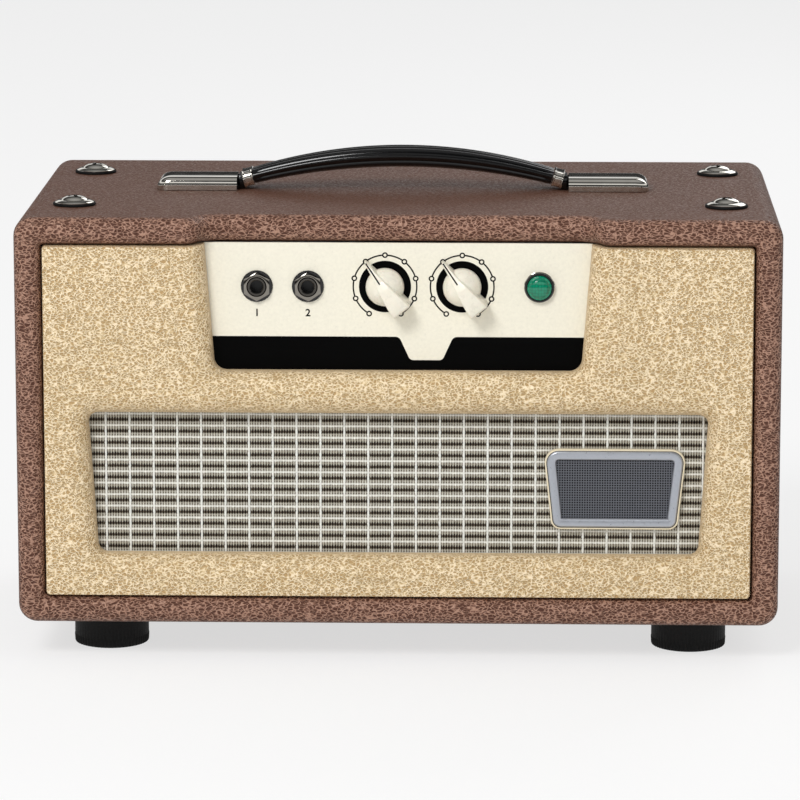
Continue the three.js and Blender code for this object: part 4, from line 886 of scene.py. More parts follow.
def pointer_knob(name, node, body, turn, place):
    """Skirt and pointer, with the ink line as a second piece."""
    place = dict(place, turn=turn)
    skirt = turned([(0, KNOB_LOW), (9.2, KNOB_LOW), (9.6, 1.2), (9.6, 2.6), (9.3, 4.0),
                    (8.6, 5.6), (7.5, 7.1), (6.0, 8.5), (4.1, 9.6), (2.1, 10.2), (0, 10.4)], 96)
    make(name, [(put(skirt, **place), ivory), (put(pointer_bar(), **place), ivory)],
         body=body, replaces=[node])
    along = np.array([3.6, 5, 6.5, 8, 10, 12, 13.5, 14.5, 15.6])
    top = np.interp(along, POINTER[:, 0], POINTER[:, 3])
    section = np.array([(-0.36, -0.4), (0.36, -0.4), (0.36, 0.06), (-0.36, 0.06)])
    rings = np.stack([np.column_stack([section[:, 0], np.full(4, b), section[:, 1] + h])
                      for b, h in zip(along, top)])
    make(name + "_line", [(put(stack(rings), **place), black_ink)], body=body)


for name, x in zip(("volume", "tone"), knob_x):
    pointer_knob(f"{name}_pointer_knob", f"{name}_knob", f"{name}_control", REST_TURN,
                 dict(FRONT, origin=(x, PANEL_FACE, CONTROL_Z)))

# %% [markdown]
# ## Jack sockets and pilot lamp
# A panel jack is a threaded bush with a hexagonal nut over a black washer. The nut's corners are
# cut by a cone, so its top edge is lower wherever the hexagon reaches further out.


# %% Nuts and jacks
def hexagon_radius(angle, flats):
    """Radius of a hexagon at an angle: half the flats over the cosine of the angle from the
    middle of the nearest side."""
    return flats / 2 / np.cos((angle + math.pi / 6) % (math.pi / 3) - math.pi / 6)


def nut(flats, bore, foot, top, turn=0.0):
    """A hexagonal nut from foot to top. A 30 degree cone cuts its upper corners: beyond the land,
    the top comes down by the cone's slope times the distance."""
    angle = around(96)
    out = hexagon_radius(angle, flats)
    land, cone_slope = flats / 2 - 0.35, 0.58
    section = [(bore, foot), (out, foot), (out, top - (out - land) * cone_slope), (land, top),
               (bore + 0.35, top), (bore, top - 0.3)]
    return stack(np.array([spun(radius, height, angle + turn) for radius, height in section]),
                 loop=True)


def thread(inner, outer, start, end, pitch=0.6):
    """Ridges of a fine thread outside a bush, as a zigzag profile from start to end."""
    turns = int((end - start) / pitch)
    zigzag = [(outer - (0.22 if k % 2 else 0), start + k * pitch / 2) for k in range(2 * turns)]
    return [(inner, start)] + zigzag + [(outer - 0.25, end), (inner + 0.3, end),
                                        (inner, end - 0.25)]


def jack(name, place, stack_height, socket_node, nut_node, nut_finish, turn):
    """A jack socket with its nut and washer. The bush is hollow down to a blind end, and the
    body starts under the panel and what lies on it, which is the stack's height."""
    bush = washer(thread(3.3, 4.7, -2.0, 3.3))
    barrel = turned([(0, -25), (4.9, -25), (4.9, -1.8), (3.3, -1.8), (3.3, -22), (0, -22)], 48)
    body = plate(lambda inset: [drawn_in(box_outline(19, 19, 2), inset)],
                 [(0.6, -stack_height - 24.3), (0, -stack_height - 23.7),
                  (0, -stack_height - 1), (0.6, -stack_height - 0.3)])
    make(name, [(put(bush, **place), dark_nickel_and_recess_shade), (put(barrel, **place), black_abs),
                (put(body, **place), black_abs)], replaces=[socket_node])
    disc = washer([(4.75, 0.05), (7.95, 0.05), (7.95, 0.7), (7.7, 0.95), (4.75, 0.95)])
    make(name + "_nut", [(put(disc, **place), gloss_black_and_dark_reflection),
                         (put(nut(12.7, 4.72, 0.95, 3.1, turn), **place), nut_finish)],
         replaces=[nut_node])


for i, (x, turn) in enumerate(zip(jack_x, (0.0, 0.06)), 1):
    jack(f"input_socket_{i}", dict(origin=(x, PANEL_FACE, CONTROL_Z), **FRONT), 3.3,
         f"input_jack_{i}", f"jack_nut_{i}", reflection_dark_chrome, turn)

# %% [markdown]
# The lamp's lens is moulded green acrylic with a ring and small facets behind its front, in a
# bezel whose gloss black paints the dark reflection of its chrome, with a thin bright rim.


# %% Pilot lamp
def lens_acrylic():
    """Clear green plastic over a faceted back: the facets are a fine cell pattern in the tint
    and the bump, 1.5 mm apart. A weak glow of its own stands for the lamp behind it."""
    material, tree, surface = finish("moulded_green_acrylic", Roughness=0.12, IOR=1.49,
                                     Coat_Weight=0.2, Coat_Roughness=0.05,
                                     Transmission_Weight=0.1, Emission_Strength=0.05)
    surface.inputs["Emission Color"].default_value = linear("#00A070")
    here = add(tree, "TexCoord").outputs["Object"]
    cells = add(tree, "TexVoronoi", {"feature": "F1"}, Vector=here, Scale=per_mm(1.5),
                Randomness=0.25)
    tint = add(tree, "ValToRGB", Fac=cells.outputs["Distance"])
    fill_stops(tint, [(0.0, "#00916B"), (1.0, "#005541")])
    feed(tree, surface.inputs["Base Color"], tint.outputs[0])
    bump = add(tree, "Bump", Height=cells.outputs["Distance"], Strength=0.25,
               Distance=0.4 * MM)
    feed(tree, surface.inputs["Normal"], bump.outputs[0])
    return material


lamp_x, _, lamp_z = middle("pilot_jewel")
lamp_place = dict(origin=(lamp_x, PANEL_FACE, lamp_z), **FRONT)
green_acrylic = lens_acrylic()
make("pilot_lens", [(put(turned(
    [(0, 1.5), (6.1, 1.5), (6.1, 3.2), (5.95, 3.7), (5.2, 4.0), (5.05, 4.25), (4.6, 4.75),
     (3.6, 5.25), (2.2, 5.6), (0, 5.8)], 72), **lamp_place), green_acrylic)],
    replaces=["pilot_jewel"])
make("pilot_lamp_bezel", [
    # The bezel's gloss black is a painted dark reflection of chrome.
    (put(washer([(5.5, 0.3), (7.5, 0.3), (7.5, 2.0), (7.25, 2.45), (6.9, 2.6), (6.5, 2.55),
                 (6.2, 2.2), (6.2, 1.2), (5.5, 1.2)]), **lamp_place), gloss_black_and_dark_reflection),
    (put(washer([(7.3, 0.05), (7.75, 0.05), (7.7, 0.6), (7.45, 0.75), (7.3, 0.6)]),
         **lamp_place), chrome),
    (put(turned([(0, -20), (5.2, -20), (5.55, -19.5), (5.55, 0.5), (5.0, 1.3), (0, 1.3)], 48),
         **lamp_place), black_abs)], replaces=["pilot_bezel"])

# %% [markdown]
# ## The handle
# Black PVC is moulded over a steel strap. Its centre line is an arc of a circle through the two
# ferrules, and the section is a rounded bar with grooves along it. So it is one section carried
# along one arc: the section's size changes with the square of the distance from the middle, and
# the grooves are sharp dips between round ribs at even steps round the section.

# %% The grip
HANDLE_Y, HANDLE_BASE = middle("handle_grip")[1], low("left_end_cap")[2]
GRIP_HALF, END_RISE, MID_RISE = 77.0, 6.2, 16.6
RIBS, GROOVE, NECK_X, STRAP_X = 11, 0.95, 83.4, 98
GRIP_WIDE, GRIP_TALL, NARROWER, THINNER = 24, 10.6, 4.5, 2.8
GRIP_SAG = MID_RISE - END_RISE
ARCH_R = (GRIP_HALF ** 2 + GRIP_SAG ** 2) / (2 * GRIP_SAG)
END_ANGLE = math.asin(GRIP_HALF / ARCH_R)


def grip_section(half_width, half_height, depth, count=144):
    """A rounded bar as [across, above] points, evenly spaced along its outline, with grooves of
    that depth between its ribs: a groove is the square of the nearness to its line. The flat
    underside keeps none."""
    t = np.linspace(0, 2 * math.pi, 1441)[:-1]
    shape = np.stack([half_width * np.sign(np.cos(t)) * np.abs(np.cos(t)) ** 0.72,
                      half_height * np.sign(np.sin(t)) * np.abs(np.sin(t)) ** 0.72], 1)
    step = np.linalg.norm(np.roll(shape, -1, 0) - shape, axis=1)
    run = np.concatenate([[0], np.cumsum(step)])
    slant_shade = np.linspace(0, run[-1], count + 1)[:-1]
    closed = np.vstack([shape, shape[:1]])
    shape = np.stack([np.interp(slant_shade, run, closed[:, i]) for i in (0, 1)], 1)
    ahead = np.roll(shape, -1, 0) - np.roll(shape, 1, 0)
    normal = np.stack([ahead[:, 1], -ahead[:, 0]], 1)
    normal /= np.linalg.norm(normal, axis=1)[:, None]
    pitch = run[-1] / RIBS
    start = run[-1] / 4
    away = np.abs((slant_shade - start + pitch / 2) % pitch - pitch / 2)
    upper = np.clip((shape[:, 1] / half_height + 0.75) * 3, 0, 1)
    dip = depth * (1 - 2 * away / pitch) ** 2 * upper
    return shape - normal * dip[:, None]


def along_arch(share, section):
    """A section put across the arch at share of the way from its middle to one ferrule."""
    angle = share * END_ANGLE
    r = ARCH_R + section[:, 1]
    return np.stack([r * math.sin(angle), HANDLE_Y + section[:, 0],
                     HANDLE_BASE + MID_RISE - ARCH_R + r * math.cos(angle)], 1)


rings = []
for share in np.linspace(-1, 1, 101):
    half_width = (GRIP_WIDE - NARROWER * share ** 2) / 2
    half_height = (GRIP_TALL - THINNER * share ** 2) / 2
    fade = min(1.0, (1 - abs(share)) * 12 + 0.35)
    rings.append(along_arch(share, grip_section(half_width, half_height, GROOVE * fade)))
grip_parts = [(stack(np.array(rings)), grip_rubber)]
for side in (-1, 1):
    neck = plate(lambda inset: [drawn_in(box_outline(4.2, 15, 1.2), inset)],
                 [(0.3, 0.3), (0, 0.6), (0, 6.0), (0.8, 7.2)])
    strap = plate(lambda inset: [drawn_in(box_outline(32, 14.6, 1.5), inset)],
                  [(0.2, 0.35), (0, 0.5), (0, 1.7), (0.2, 1.85)])
    grip_parts += [
        (put(neck, origin=(side * NECK_X, HANDLE_Y, HANDLE_BASE), **ABOVE), grip_rubber),
        (put(strap, origin=(side * STRAP_X, HANDLE_Y, HANDLE_BASE), **ABOVE), grip_rubber)]
make("moulded_handle_grip", grip_parts, body="handle", replaces=["handle_grip"],
     crease=50)

# %% [markdown]
# A ferrule is a pressed sleeve with a rolled rim at both ends. It stands square to the arch's
# end, so its axes are turned with the tangent there.


# %% Ferrules
def ferrule(side):
    """A sleeve of rounded-rectangle rings along the arch's tangent; its rims stand proud."""
    reach = 3.05
    centre = (side * (GRIP_HALF + reach * math.cos(END_ANGLE)), HANDLE_Y,
              HANDLE_BASE + END_RISE - reach * math.sin(END_ANGLE))
    along = (side * math.cos(END_ANGLE), 0, -math.sin(END_ANGLE))
    above = (side * math.sin(END_ANGLE), 0, math.cos(END_ANGLE))
    outline = box_outline(20.4, 8.4, 3.3, steps=8)
    section = [(0.9, -2.75), (0.3, -2.7), (0, -2.4), (0.05, -1.9), (0.35, -1.6), (0.3, 0),
               (0.35, 1.6), (0.05, 1.9), (0, 2.4), (0.3, 2.7), (0.9, 2.75)]
    rings = [np.column_stack([drawn_in(outline, inset), np.full(len(outline), h)])
             for inset, h in section]
    return put(stack(np.array(rings)), origin=centre, across=(0, 1, 0), up=above, out=along)


for side, name in ((-1, "left"), (1, "right")):
    make(f"{name}_handle_ferrule", [(ferrule(side), chrome)], body="handle",
         replaces=[f"{name}_ferrule"])

# %% [markdown]
# The end caps are deep-drawn and plated. Seen from above one is a rectangle with large outer
# corners, and its roof runs level and then rolls down to the outer end. A stack of arches from
# the mouth to the end gives that: each arch is a width and a height, and its shoulders are a
# power curve.


# %% End caps
CAP_ROLL, CAP_CORNER, CAP_RIM = 7.5, 6.0, 0.14


def end_cap(side):
    """Arches across the cap. The width and height follow quarter ellipses near the outer end;
    the mouth is turned in and closed a little way inside."""
    start = low("right_end_cap")[0]
    length, wide, tall = high("right_end_cap") - low("right_end_cap")
    half = wide / 2
    t = np.linspace(0, math.pi, 49)
    side_way = np.sign(np.cos(t)) * np.abs(np.cos(t)) ** 0.36
    rise = np.sin(t) ** 0.42
    reach = length - np.concatenate([[0], np.geomspace(0.03, length, 40)])[::-1]
    roll = np.clip((length - reach) / CAP_ROLL, 0, 1)
    corner = np.clip((length - reach) / CAP_CORNER, 0, 1)
    height = tall * (CAP_RIM + (1 - CAP_RIM) * np.sqrt(1 - (1 - roll) ** 2.3))
    width = half - CAP_CORNER * (1 - np.sqrt(1 - (1 - corner) ** 2))
    rings = [np.stack([np.full(len(t), start + x), w * side_way, h * rise], 1)
             for x, w, h in zip(reach, width, height)]
    mouth = rings[0]
    inner = [mouth * (1, 0.93, 0.86), mouth * (1, 0.92, 0.84) + (7, 0, 0)]
    rings = inner[::-1] + rings
    points, faces = stack(np.array(rings))
    points = points * (side, 1, 1) + (0, HANDLE_Y, HANDLE_BASE)
    return points, faces


for side, name in ((-1, "left"), (1, "right")):
    make(f"{name}_chrome_cap", [(end_cap(side), chrome)],
         replaces=[f"{name}_end_cap"], crease=55)

# %% [markdown]
# ## Bolts, cup washers and feet
# The chassis hangs from four raised-head bolts in plated cup washers, each on a thin black
# ring. The heads have a cross recess, cut by a tapered cross with a boolean. The cut keeps the
# cutter's darker nickel, which paints shade in the recess.


# %% Bolts
def cross_cutter(size, depth):
    """A tapered cross: two crossed bars, narrower and shorter at the bottom."""
    arm, bar = size / 2, size * 0.13
    loop = np.array([(-arm, -bar), (-bar, -bar), (-bar, -arm), (bar, -arm), (bar, -bar),
                     (arm, -bar), (arm, bar), (bar, bar), (bar, arm), (-bar, arm), (-bar, bar),
                     (-arm, bar)])
    rings = [np.column_stack([loop * scale, np.full(12, h)])
             for scale, h in ((0.45, -depth), (0.75, -depth * 0.5), (1.0, 0), (1.0, 2.0))]
    return stack(np.array(rings))


def cut_cross(piece, place, size, depth):
    """Cuts the cross out of a piece and applies the cut, so nothing is left but the mesh."""
    points, faces = put(cross_cutter(size, depth), **place)
    mesh = bpy.data.meshes.new("cross")
    mesh.from_pydata((points * MM).tolist(), [], faces)
    edit = bmesh.new()
    edit.from_mesh(mesh)
    bmesh.ops.recalc_face_normals(edit, faces=edit.faces)
    edit.to_mesh(mesh)
    edit.free()
    # The cutter's darker nickel stays on the cut faces as painted shade in the recess.
    mesh.materials.append(dark_nickel_and_recess_shade)
    tool = bpy.data.objects.new("cross", mesh)
    bpy.context.scene.collection.objects.link(tool)
    cut = piece.modifiers.new("cross", "BOOLEAN")
    cut.operation, cut.object, cut.solver = "DIFFERENCE", tool, "EXACT"
    cut.material_mode = "TRANSFER"
    bpy.context.view_layer.update()
    result = bpy.data.meshes.new_from_object(
        piece.evaluated_get(bpy.context.evaluated_depsgraph_get()))
    piece.modifiers.clear()
    piece.data = result
    result.set_sharp_from_angle(angle=math.radians(32))
    bpy.data.objects.remove(tool)


SEAT, CUT_TOP = 0.05, 5.0
for i in range(1, 5):
    x, y, _ = middle(f"cup_washer_{i}")
    place = dict(origin=(x, y, TOP + SEAT), **ABOVE)
    cup = washer([(6.6, 1.5), (9.7, 1.45), (10.0, 1.5), (10.0, 1.65), (9.7, 1.85), (9.0, 2.2),
                  (8.0, 2.55), (7.3, 2.75), (6.9, 2.7), (6.7, 2.4)])
    black_ring = washer([(3, 0), (10.6, 0), (10.8, 0.45), (10.75, 1.0), (10.5, 1.4), (3, 1.4)])
    make(f"cup_and_gasket_{i}", [(put(cup, **place), chrome), (put(black_ring, **place), foot_rubber)],
         replaces=[f"cup_washer_{i}"])
    bolt = turned([(0, -20.5), (2.2, -20.5), (2.4, -20), (2.4, 0.6), (5.0, 1.2), (6.6, 2.3),
                   (6.75, 2.7), (6.5, 3.1), (5.6, 3.75), (4.2, 4.35), (2.4, 4.75), (0, 4.9)], 64)
    head = make(f"raised_head_bolt_{i}", [(put(bolt, **place), chrome)],
                replaces=[f"chassis_bolt_{i}"])
    cut_cross(head, dict(origin=(x, y, TOP + CUT_TOP), turn=25 * i, **ABOVE), 7.4, 2.8)

# %% [markdown]
# The feet are moulded rubber with a moulded rim, a slight taper, fine teeth round the lower edge
# and a recess for the screw, which shows from below.


# %% Feet
def foot(x, y):
    """A turned profile whose lowest outer rings are toothed: their radius gains a small share
    of a cosine that repeats sixty times round."""
    angle = around(360)
    profile = np.array([
        (3.2, 13.0), (3.2, 12.2), (6.9, 12.0), (7.0, 11.6), (7.0, 0.8), (7.4, 0.25), (8.2, 0.0),
        (17.2, 0.0), (18.2, 0.35), (18.6, 1.0), (18.8, 4.4), (18.9, 5.0), (18.9, 12.6),
        (19.25, 13.2), (19.25, 17.6), (18.9, 18.3), (18.2, 18.7), (3.2, 18.7)])
    tooth = np.where((profile[:, 0] > 18) & (profile[:, 1] < 4.6), 0.28, 0.0)
    radius = profile[:, :1] + tooth[:, None] * np.cos(angle * 60)
    return put(stack(spun(radius, profile[:, 1:], angle), loop=True), origin=(x, y, 0), **ABOVE)


SCREW_SEAT = 12.2
for i in range(1, 5):
    x, y, _ = middle(f"foot_{i}")
    screw = put(turned([(0, -6.0), (1.8, -6.0), (2.0, -1), (4.4, 0), (5.4, 0.4), (5.0, 1.6),
                        (3.4, 2.4), (0, 2.7)], 40), origin=(x, y, SCREW_SEAT), **BELOW)
    make(f"rubber_foot_{i}", [(foot(x, y), foot_rubber), (screw, zinc)],
         replaces=[f"foot_{i}"])

# %% [markdown]
# ## The back
# The back panel is covered board with seven slots that cool the valves. Its edges and the slots'
# edges are rounded by 2 mm. Above it the chassis shows its rear face with the sockets.


# %% Back panel
PANEL_BACK, PANEL_IN = high("back_panel")[1], low("back_panel")[1]
SLOT_PITCH, SLOT_WIDE, SLOT_TALL, SLOT_R, EDGE_R = 26, 12, 50, 5.4, 2
SCREW_COLUMNS, SCREW_ROWS = (-166, 0, 166), (39.5, 134)


def back_panel_loops(inset):
    """The panel's outline drawn in, and its slots widened, by the inset."""
    size, centre = high("back_panel") - low("back_panel"), middle("back_panel")
    loops = [box_outline(size[0] - 2 * inset, size[2] - 2 * inset, 2, 0, centre[2])]
    loops += [drawn_in(box_outline(SLOT_WIDE, SLOT_TALL, SLOT_R, SLOT_PITCH * i, centre[2]), -inset)
              for i in range(-3, 4)]
    return loops


round_edge = [(EDGE_R * (1 - math.cos(a)), EDGE_R * math.sin(a) - EDGE_R)
              for a in np.radians(range(0, 91, 15))]
vented = plate(back_panel_loops, [(0.4, PANEL_IN - PANEL_BACK)] + round_edge)
make("vented_back_panel", [(put(vented, origin=(0, PANEL_BACK, 0), **BACK), brown_vinyl)],
     replaces=["back_panel"])
SCREW = [(0, -3), (1.6, -3), (1.7, 0.02), (3.5, 0.1), (3.6, 0.5), (3.2, 1.3), (2.2, 1.9), (0, 2.2)]
for i, (x, z) in enumerate([(x, z) for z in SCREW_ROWS for x in SCREW_COLUMNS]):
    place = dict(origin=(x, PANEL_BACK, z), **BACK)
    cup = washer([(3.4, 0.02), (5.6, 0.02), (5.7, 0.3), (5.0, 0.85), (4.0, 1.05), (3.5, 0.7)], 48)
    screw = make(f"back_screw_{i + 1}", [(put(turned(SCREW, 48), **place), zinc),
                                         (put(cup, **place), nickel)])
    cut_cross(screw, dict(origin=(x, PANEL_BACK + 2.25, z), turn=37 * i, **BACK), 3.2, 1.2)

# %% [markdown]
# The mains inlet is a flange with a deep well, chamfered at two corners so that a plug fits one
# way only. One stack of rings goes up the well's wall, over its rim and down the outside.


# %% Mains inlet
REAR_FACE = high("chassis")[1]
REAR_Z = middle("fuse_cap")[2]


def rear_place(node):
    """Where a rear piece stands: on the chassis's rear face, at the height of the rear row."""
    return dict(BACK, origin=(middle(node)[0], REAR_FACE, REAR_Z))


def upright_box(width, tall, start, end, a=0.0, b=0.0, edge=0.25):
    """A small box standing on the panel, its four long edges and its end slightly rounded."""
    loop = box_outline(width, tall, edge, a, b, 2)
    return plate(lambda inset: [drawn_in(loop, inset)], [(0, start), (0, end - edge), (edge, end)])


INLET_SCREWS, INLET_CUT_TOP = (-20, 20), 4.35
inlet_x = middle("mains_inlet")[0]
well = rounded([(-12, -8.2, 1.6), (12, -8.2, 1.6), (12, 4.2, 1), (8.4, 8.2, 1), (-8.4, 8.2, 1),
                (-12, 4.2, 1)])
outline = drawn_in(well, -1.5)
shell = stack(np.array([np.column_stack([loop, np.full(len(loop), h)]) for loop, h in (
    (well, -15.4), (well, 2.2), (drawn_in(well, -0.3), 2.5), (outline, 2.5), (outline, -22.4))]))
flange = plate(lambda inset: [drawn_in(box_outline(50, 24, 5), inset), drawn_in(well, -0.6)],
               [(0, 0.05), (0, 2.0), (0.5, 2.5)])
blades = [upright_box(2, 4, -16, -3.5, a, b) for a, b in ((-7, -2), (7, -2), (0, 2))]
heads = [put(turned([(0, 0), (3.2, 0), (3.2, 0.5), (2.6, 1.3), (1.4, 1.7), (0, 1.8)], 40),
             origin=(a, 0, 2.5)) for a in INLET_SCREWS]
make("mains_socket", [
    (put(together(shell, flange), **rear_place("mains_inlet")), black_abs),
    (put(together(*blades), **rear_place("mains_inlet")), nickel)],
    replaces=["mains_inlet"])
for i, a in enumerate(INLET_SCREWS):
    screw = make(f"inlet_screw_{i + 1}", [(put(heads[i], **rear_place("mains_inlet")), nickel)])
    cut_cross(screw, dict(BACK, origin=(inlet_x - a, REAR_FACE + INLET_CUT_TOP, REAR_Z),
                          turn=20 + 50 * i), 2.8, 1.1)

# %% [markdown]
# The fuse holder's cap is fluted for the fingers. Inside sits a glass fuse with two plated ends
# and a thin wire. Each rides its own body, because the cap turns on its bayonet and then comes
# out with the fuse.


# %% Fuse and its holder
def fluted(profile, grip, count, depth, sides=192):
    """A turned profile whose rings from height grip[0] to grip[1] are fluted: their radius loses
    depth times a raised cosine that repeats count times round."""
    angle = around(sides)
    profile = np.asarray(profile, float)
    within = (profile[:, 1] >= grip[0]) & (profile[:, 1] <= grip[1]) & (profile[:, 0] > 0)
    radius = profile[:, :1] - within[:, None] * depth * (0.5 - 0.5 * np.cos(angle * count)) ** 2
    return stack(spun(radius, profile[:, 1:], angle))


fuse_place = rear_place("fuse_holder")
sleeve = washer([(4.6, -28.5), (7, -30), (7, 0.05), (9, 0.05), (9, 1.5), (8.5, 2.0), (4.9, 2.0),
                 (4.6, 1.7)])
sleeve_end = turned([(0, -30), (6.9, -30), (6.9, -28.4), (0, -28.4)])
make("fuse_carrier", [(put(sleeve, **fuse_place), black_abs),
                      (put(sleeve_end, **fuse_place), black_abs)],
     replaces=["fuse_holder"])
cap_top = high("fuse_cap")[1] - REAR_FACE
make("fluted_fuse_cap", [(put(fluted(
    [(0, -0.9), (2.7, -0.9), (2.7, -4.9), (4.45, -4.9), (4.45, 2.2), (7.1, 2.2), (7.4, 2.5),
     (7.4, 3.2), (7.4, 3.4), (7.3, 8.0), (7.2, 9.0), (7.0, cap_top - 0.9),
     (6.5, cap_top - 0.25), (5.9, cap_top), (0, cap_top)],
    (3.3, 9.2), 20, 0.7), **fuse_place), black_abs)],
    body="fuse_cap", replaces=["fuse_cap"])
# Drawn glass is clear and even, and handling leaves faint smears that only its gloss shows.
glass, glass_tree, glass_surface = finish("clear_valve_glass", Roughness=0.03, IOR=1.47,
                                          Transmission_Weight=1.0)
smears = add(glass_tree, "TexNoise", Scale=per_mm(12),
             Vector=add(glass_tree, "TexCoord").outputs["Object"])
faint = add(glass_tree, "MapRange", Value=smears.outputs[0], To_Min=0.01, To_Max=0.08)
feed(glass_tree, glass_surface.inputs["Roughness"], faint.outputs[0])
fuse_low, fuse_high = low("fuse")[1] - REAR_FACE, high("fuse")[1] - REAR_FACE
tube = washer([(2.0, fuse_low + 1), (2.4, fuse_low + 1), (2.4, fuse_high - 1),
               (2.0, fuse_high - 1)], 40)
ends = [turned([(0, a), (2.4, a), (2.55, a + 0.3), (2.55, a + 4.3), (2.45, a + 4.6),
                (0, a + 4.6)], 40) for a in (fuse_low + 0.05, fuse_high - 4.65)]
wire = turned([(0, fuse_low + 2), (0.18, fuse_low + 2), (0.18, fuse_high - 2),
               (0, fuse_high - 2)], 12)
make("glass_fuse", [(put(tube, **fuse_place), glass),
                    (put(together(*ends, wire), **fuse_place), nickel)],
     body="fuse_link", replaces=["fuse"])

# %% [markdown]
# The toggle switch, the stepped attenuator and the speaker jacks use the same nuts, bushes and
# knob as the front.


# %% Rear switches and jacks
switch_place = rear_place("power_switch")
make("toggle_switch", [
    (put(washer(thread(3.4, 5.9, -3.0, 6.0, 0.75)), **switch_place), nickel),
    (put(nut(14.8, 5.95, 0.05, 2.05, 0.1), **switch_place), chrome),
    (put(plate(lambda inset: [drawn_in(box_outline(14, 28, 1), inset)],
               [(0.5, -23.4), (0, -22.9), (0, -1.9), (0.3, -1.65)]), **switch_place), zinc)],
    replaces=["power_switch"])
tilt = math.radians(12)
make("bat_lever", [(put(turned([
    (0, -3), (1.2, -2.75), (2.4, -1.8), (2.95, -0.6), (3, 0), (2.95, 0.6), (2.4, 1.8), (1.8, 2.4),
    (1.6, 3), (1.6, 6), (1.75, 8), (2.2, 10.5), (2.65, 12.3), (2.85, 13.3), (2.75, 14.1),
    (2.2, 14.7), (1.2, 14.95), (0, 15)], 48), origin=(middle("power_switch")[0], REAR_FACE, REAR_Z),
    across=(-1, 0, 0), up=(0, math.sin(tilt), math.cos(tilt)),
    out=(0, math.cos(tilt), -math.sin(tilt))), chrome)],
    body="switch_lever", replaces=["switch_lever"])
for i in (1, 2):
    jack(f"speaker_socket_{i}", rear_place(f"speaker_jack_{i}"), 1.5, f"speaker_jack_{i}",
         f"speaker_jack_{i}", chrome, 0.4 * i)
pointer_knob("attenuator_pointer_knob", "attenuator_knob", "attenuator_control", 0,
             rear_place("attenuator_switch"))
STEPS, STEP_END, STEP_R, NUMBER_OFF = 6, 75, 21, 13.5
rear_ink = [scale_print(0, REAR_Z, STEP_END, STEPS)]
for step, angle in enumerate(np.radians(np.linspace(-STEP_END, STEP_END, STEPS))):
    rear_ink.append(lettered(str(step), 4.4, STEP_R * math.sin(angle),
                             REAR_Z + STEP_R * math.cos(angle)))
for i, number in ((1, "8"), (2, "16")):
    rear_ink.append(lettered(number, 5.2, -middle(f"speaker_jack_{i}")[0], REAR_Z - NUMBER_OFF))
switch_x = -middle("power_switch")[0]
rear_ink += [lettered("0", 4.8, switch_x, REAR_Z + NUMBER_OFF),
             lettered("1", 4.8, switch_x, REAR_Z - NUMBER_OFF)]
make("chassis_print", [(put(together(*rear_ink), origin=(0, REAR_FACE, 0), **BACK), black_ink)],
     outward=False)

# %% [markdown]
# ## Inside
# Three valves hang under the chassis and show through the slots. A glass envelope holds a dark
# carbonised anode between two mica discs, and a silvery getter flash caps its lower end.


# %% Valves
mica = uneven("mica_disc", "#C9C4B4", 0.35, 0.0, 0.2, 2)
anode = uneven("carbonised_anode", "#2F2F31", 0.6, 0.4, 0.2, 1.5, 0.2)
getter = uneven("getter_flash", "#9FA3A8", 0.12, 1.0, 0.3, 4)


def valve(node):
    """A valve hanging from its base: profiles are given down from the seat, as shares of its
    radius and length, then turned. The flash on the tip's inside is the getter."""
    centre, top, tip = middle(node), high(node)[2], low(node)[2]
    r, length = (high(node)[0] - low(node)[0]) / 2, top - tip
    place = dict(origin=(centre[0], centre[1], top), **BELOW)
    envelope = turned([(r * a, length * b) for a, b in (
        (0.86, 0), (0.9, 0.02), (0.9, 0.72), (0.87, 0.79), (0.78, 0.855), (0.6, 0.905),
        (0.35, 0.935), (0.16, 0.955), (0.1, 0.985), (0.04, 1.0), (0, 1.0))])
    oval = box_outline(r * 1.1, r * 0.8, r * 0.3)
    plate_box = put(plate(lambda inset: [drawn_in(oval, inset)],
                          [(0.3, length * 0.25), (0, length * 0.26), (0, length * 0.68),
                           (0.3, length * 0.69)]))
    discs = [turned([(0, h), (r * 0.78, h), (r * 0.78, h + 0.4), (0, h + 0.4)], 48)
             for h in (length * 0.22, length * 0.71)]
    base = turned([(0, -0.02), (r * 0.98, -0.02), (r * 0.98, length * 0.05),
                   (r * 0.9, length * 0.07), (0, length * 0.07)], 64)
    dome = turned([(r * 0.62, length * 0.835), (r * 0.42, length * 0.865),
                   (0, length * 0.875), (0, length * 0.870), (r * 0.6, length * 0.83)], 48)
    parts = [(put(envelope, **place), glass), (put(base, **place), black_abs),
             (put(plate_box, **place), anode), (put(together(*discs), **place), mica),
             (put(dome, **place), getter)]
    make(node + "_glass", parts, replaces=[node])


for name in ("preamp_valve_1", "preamp_valve_2", "power_valve"):
    valve(name)

# %% [markdown]
# The two transformers are stacks of lacquered iron sheets with a paper-wrapped winding through
# them, hung from the chassis by a flange.


# %% Transformers
wrapping = uneven("varnished_paper_wrap", "#B98A43", 0.45, 0.0, 0.2, 3, 0.15)


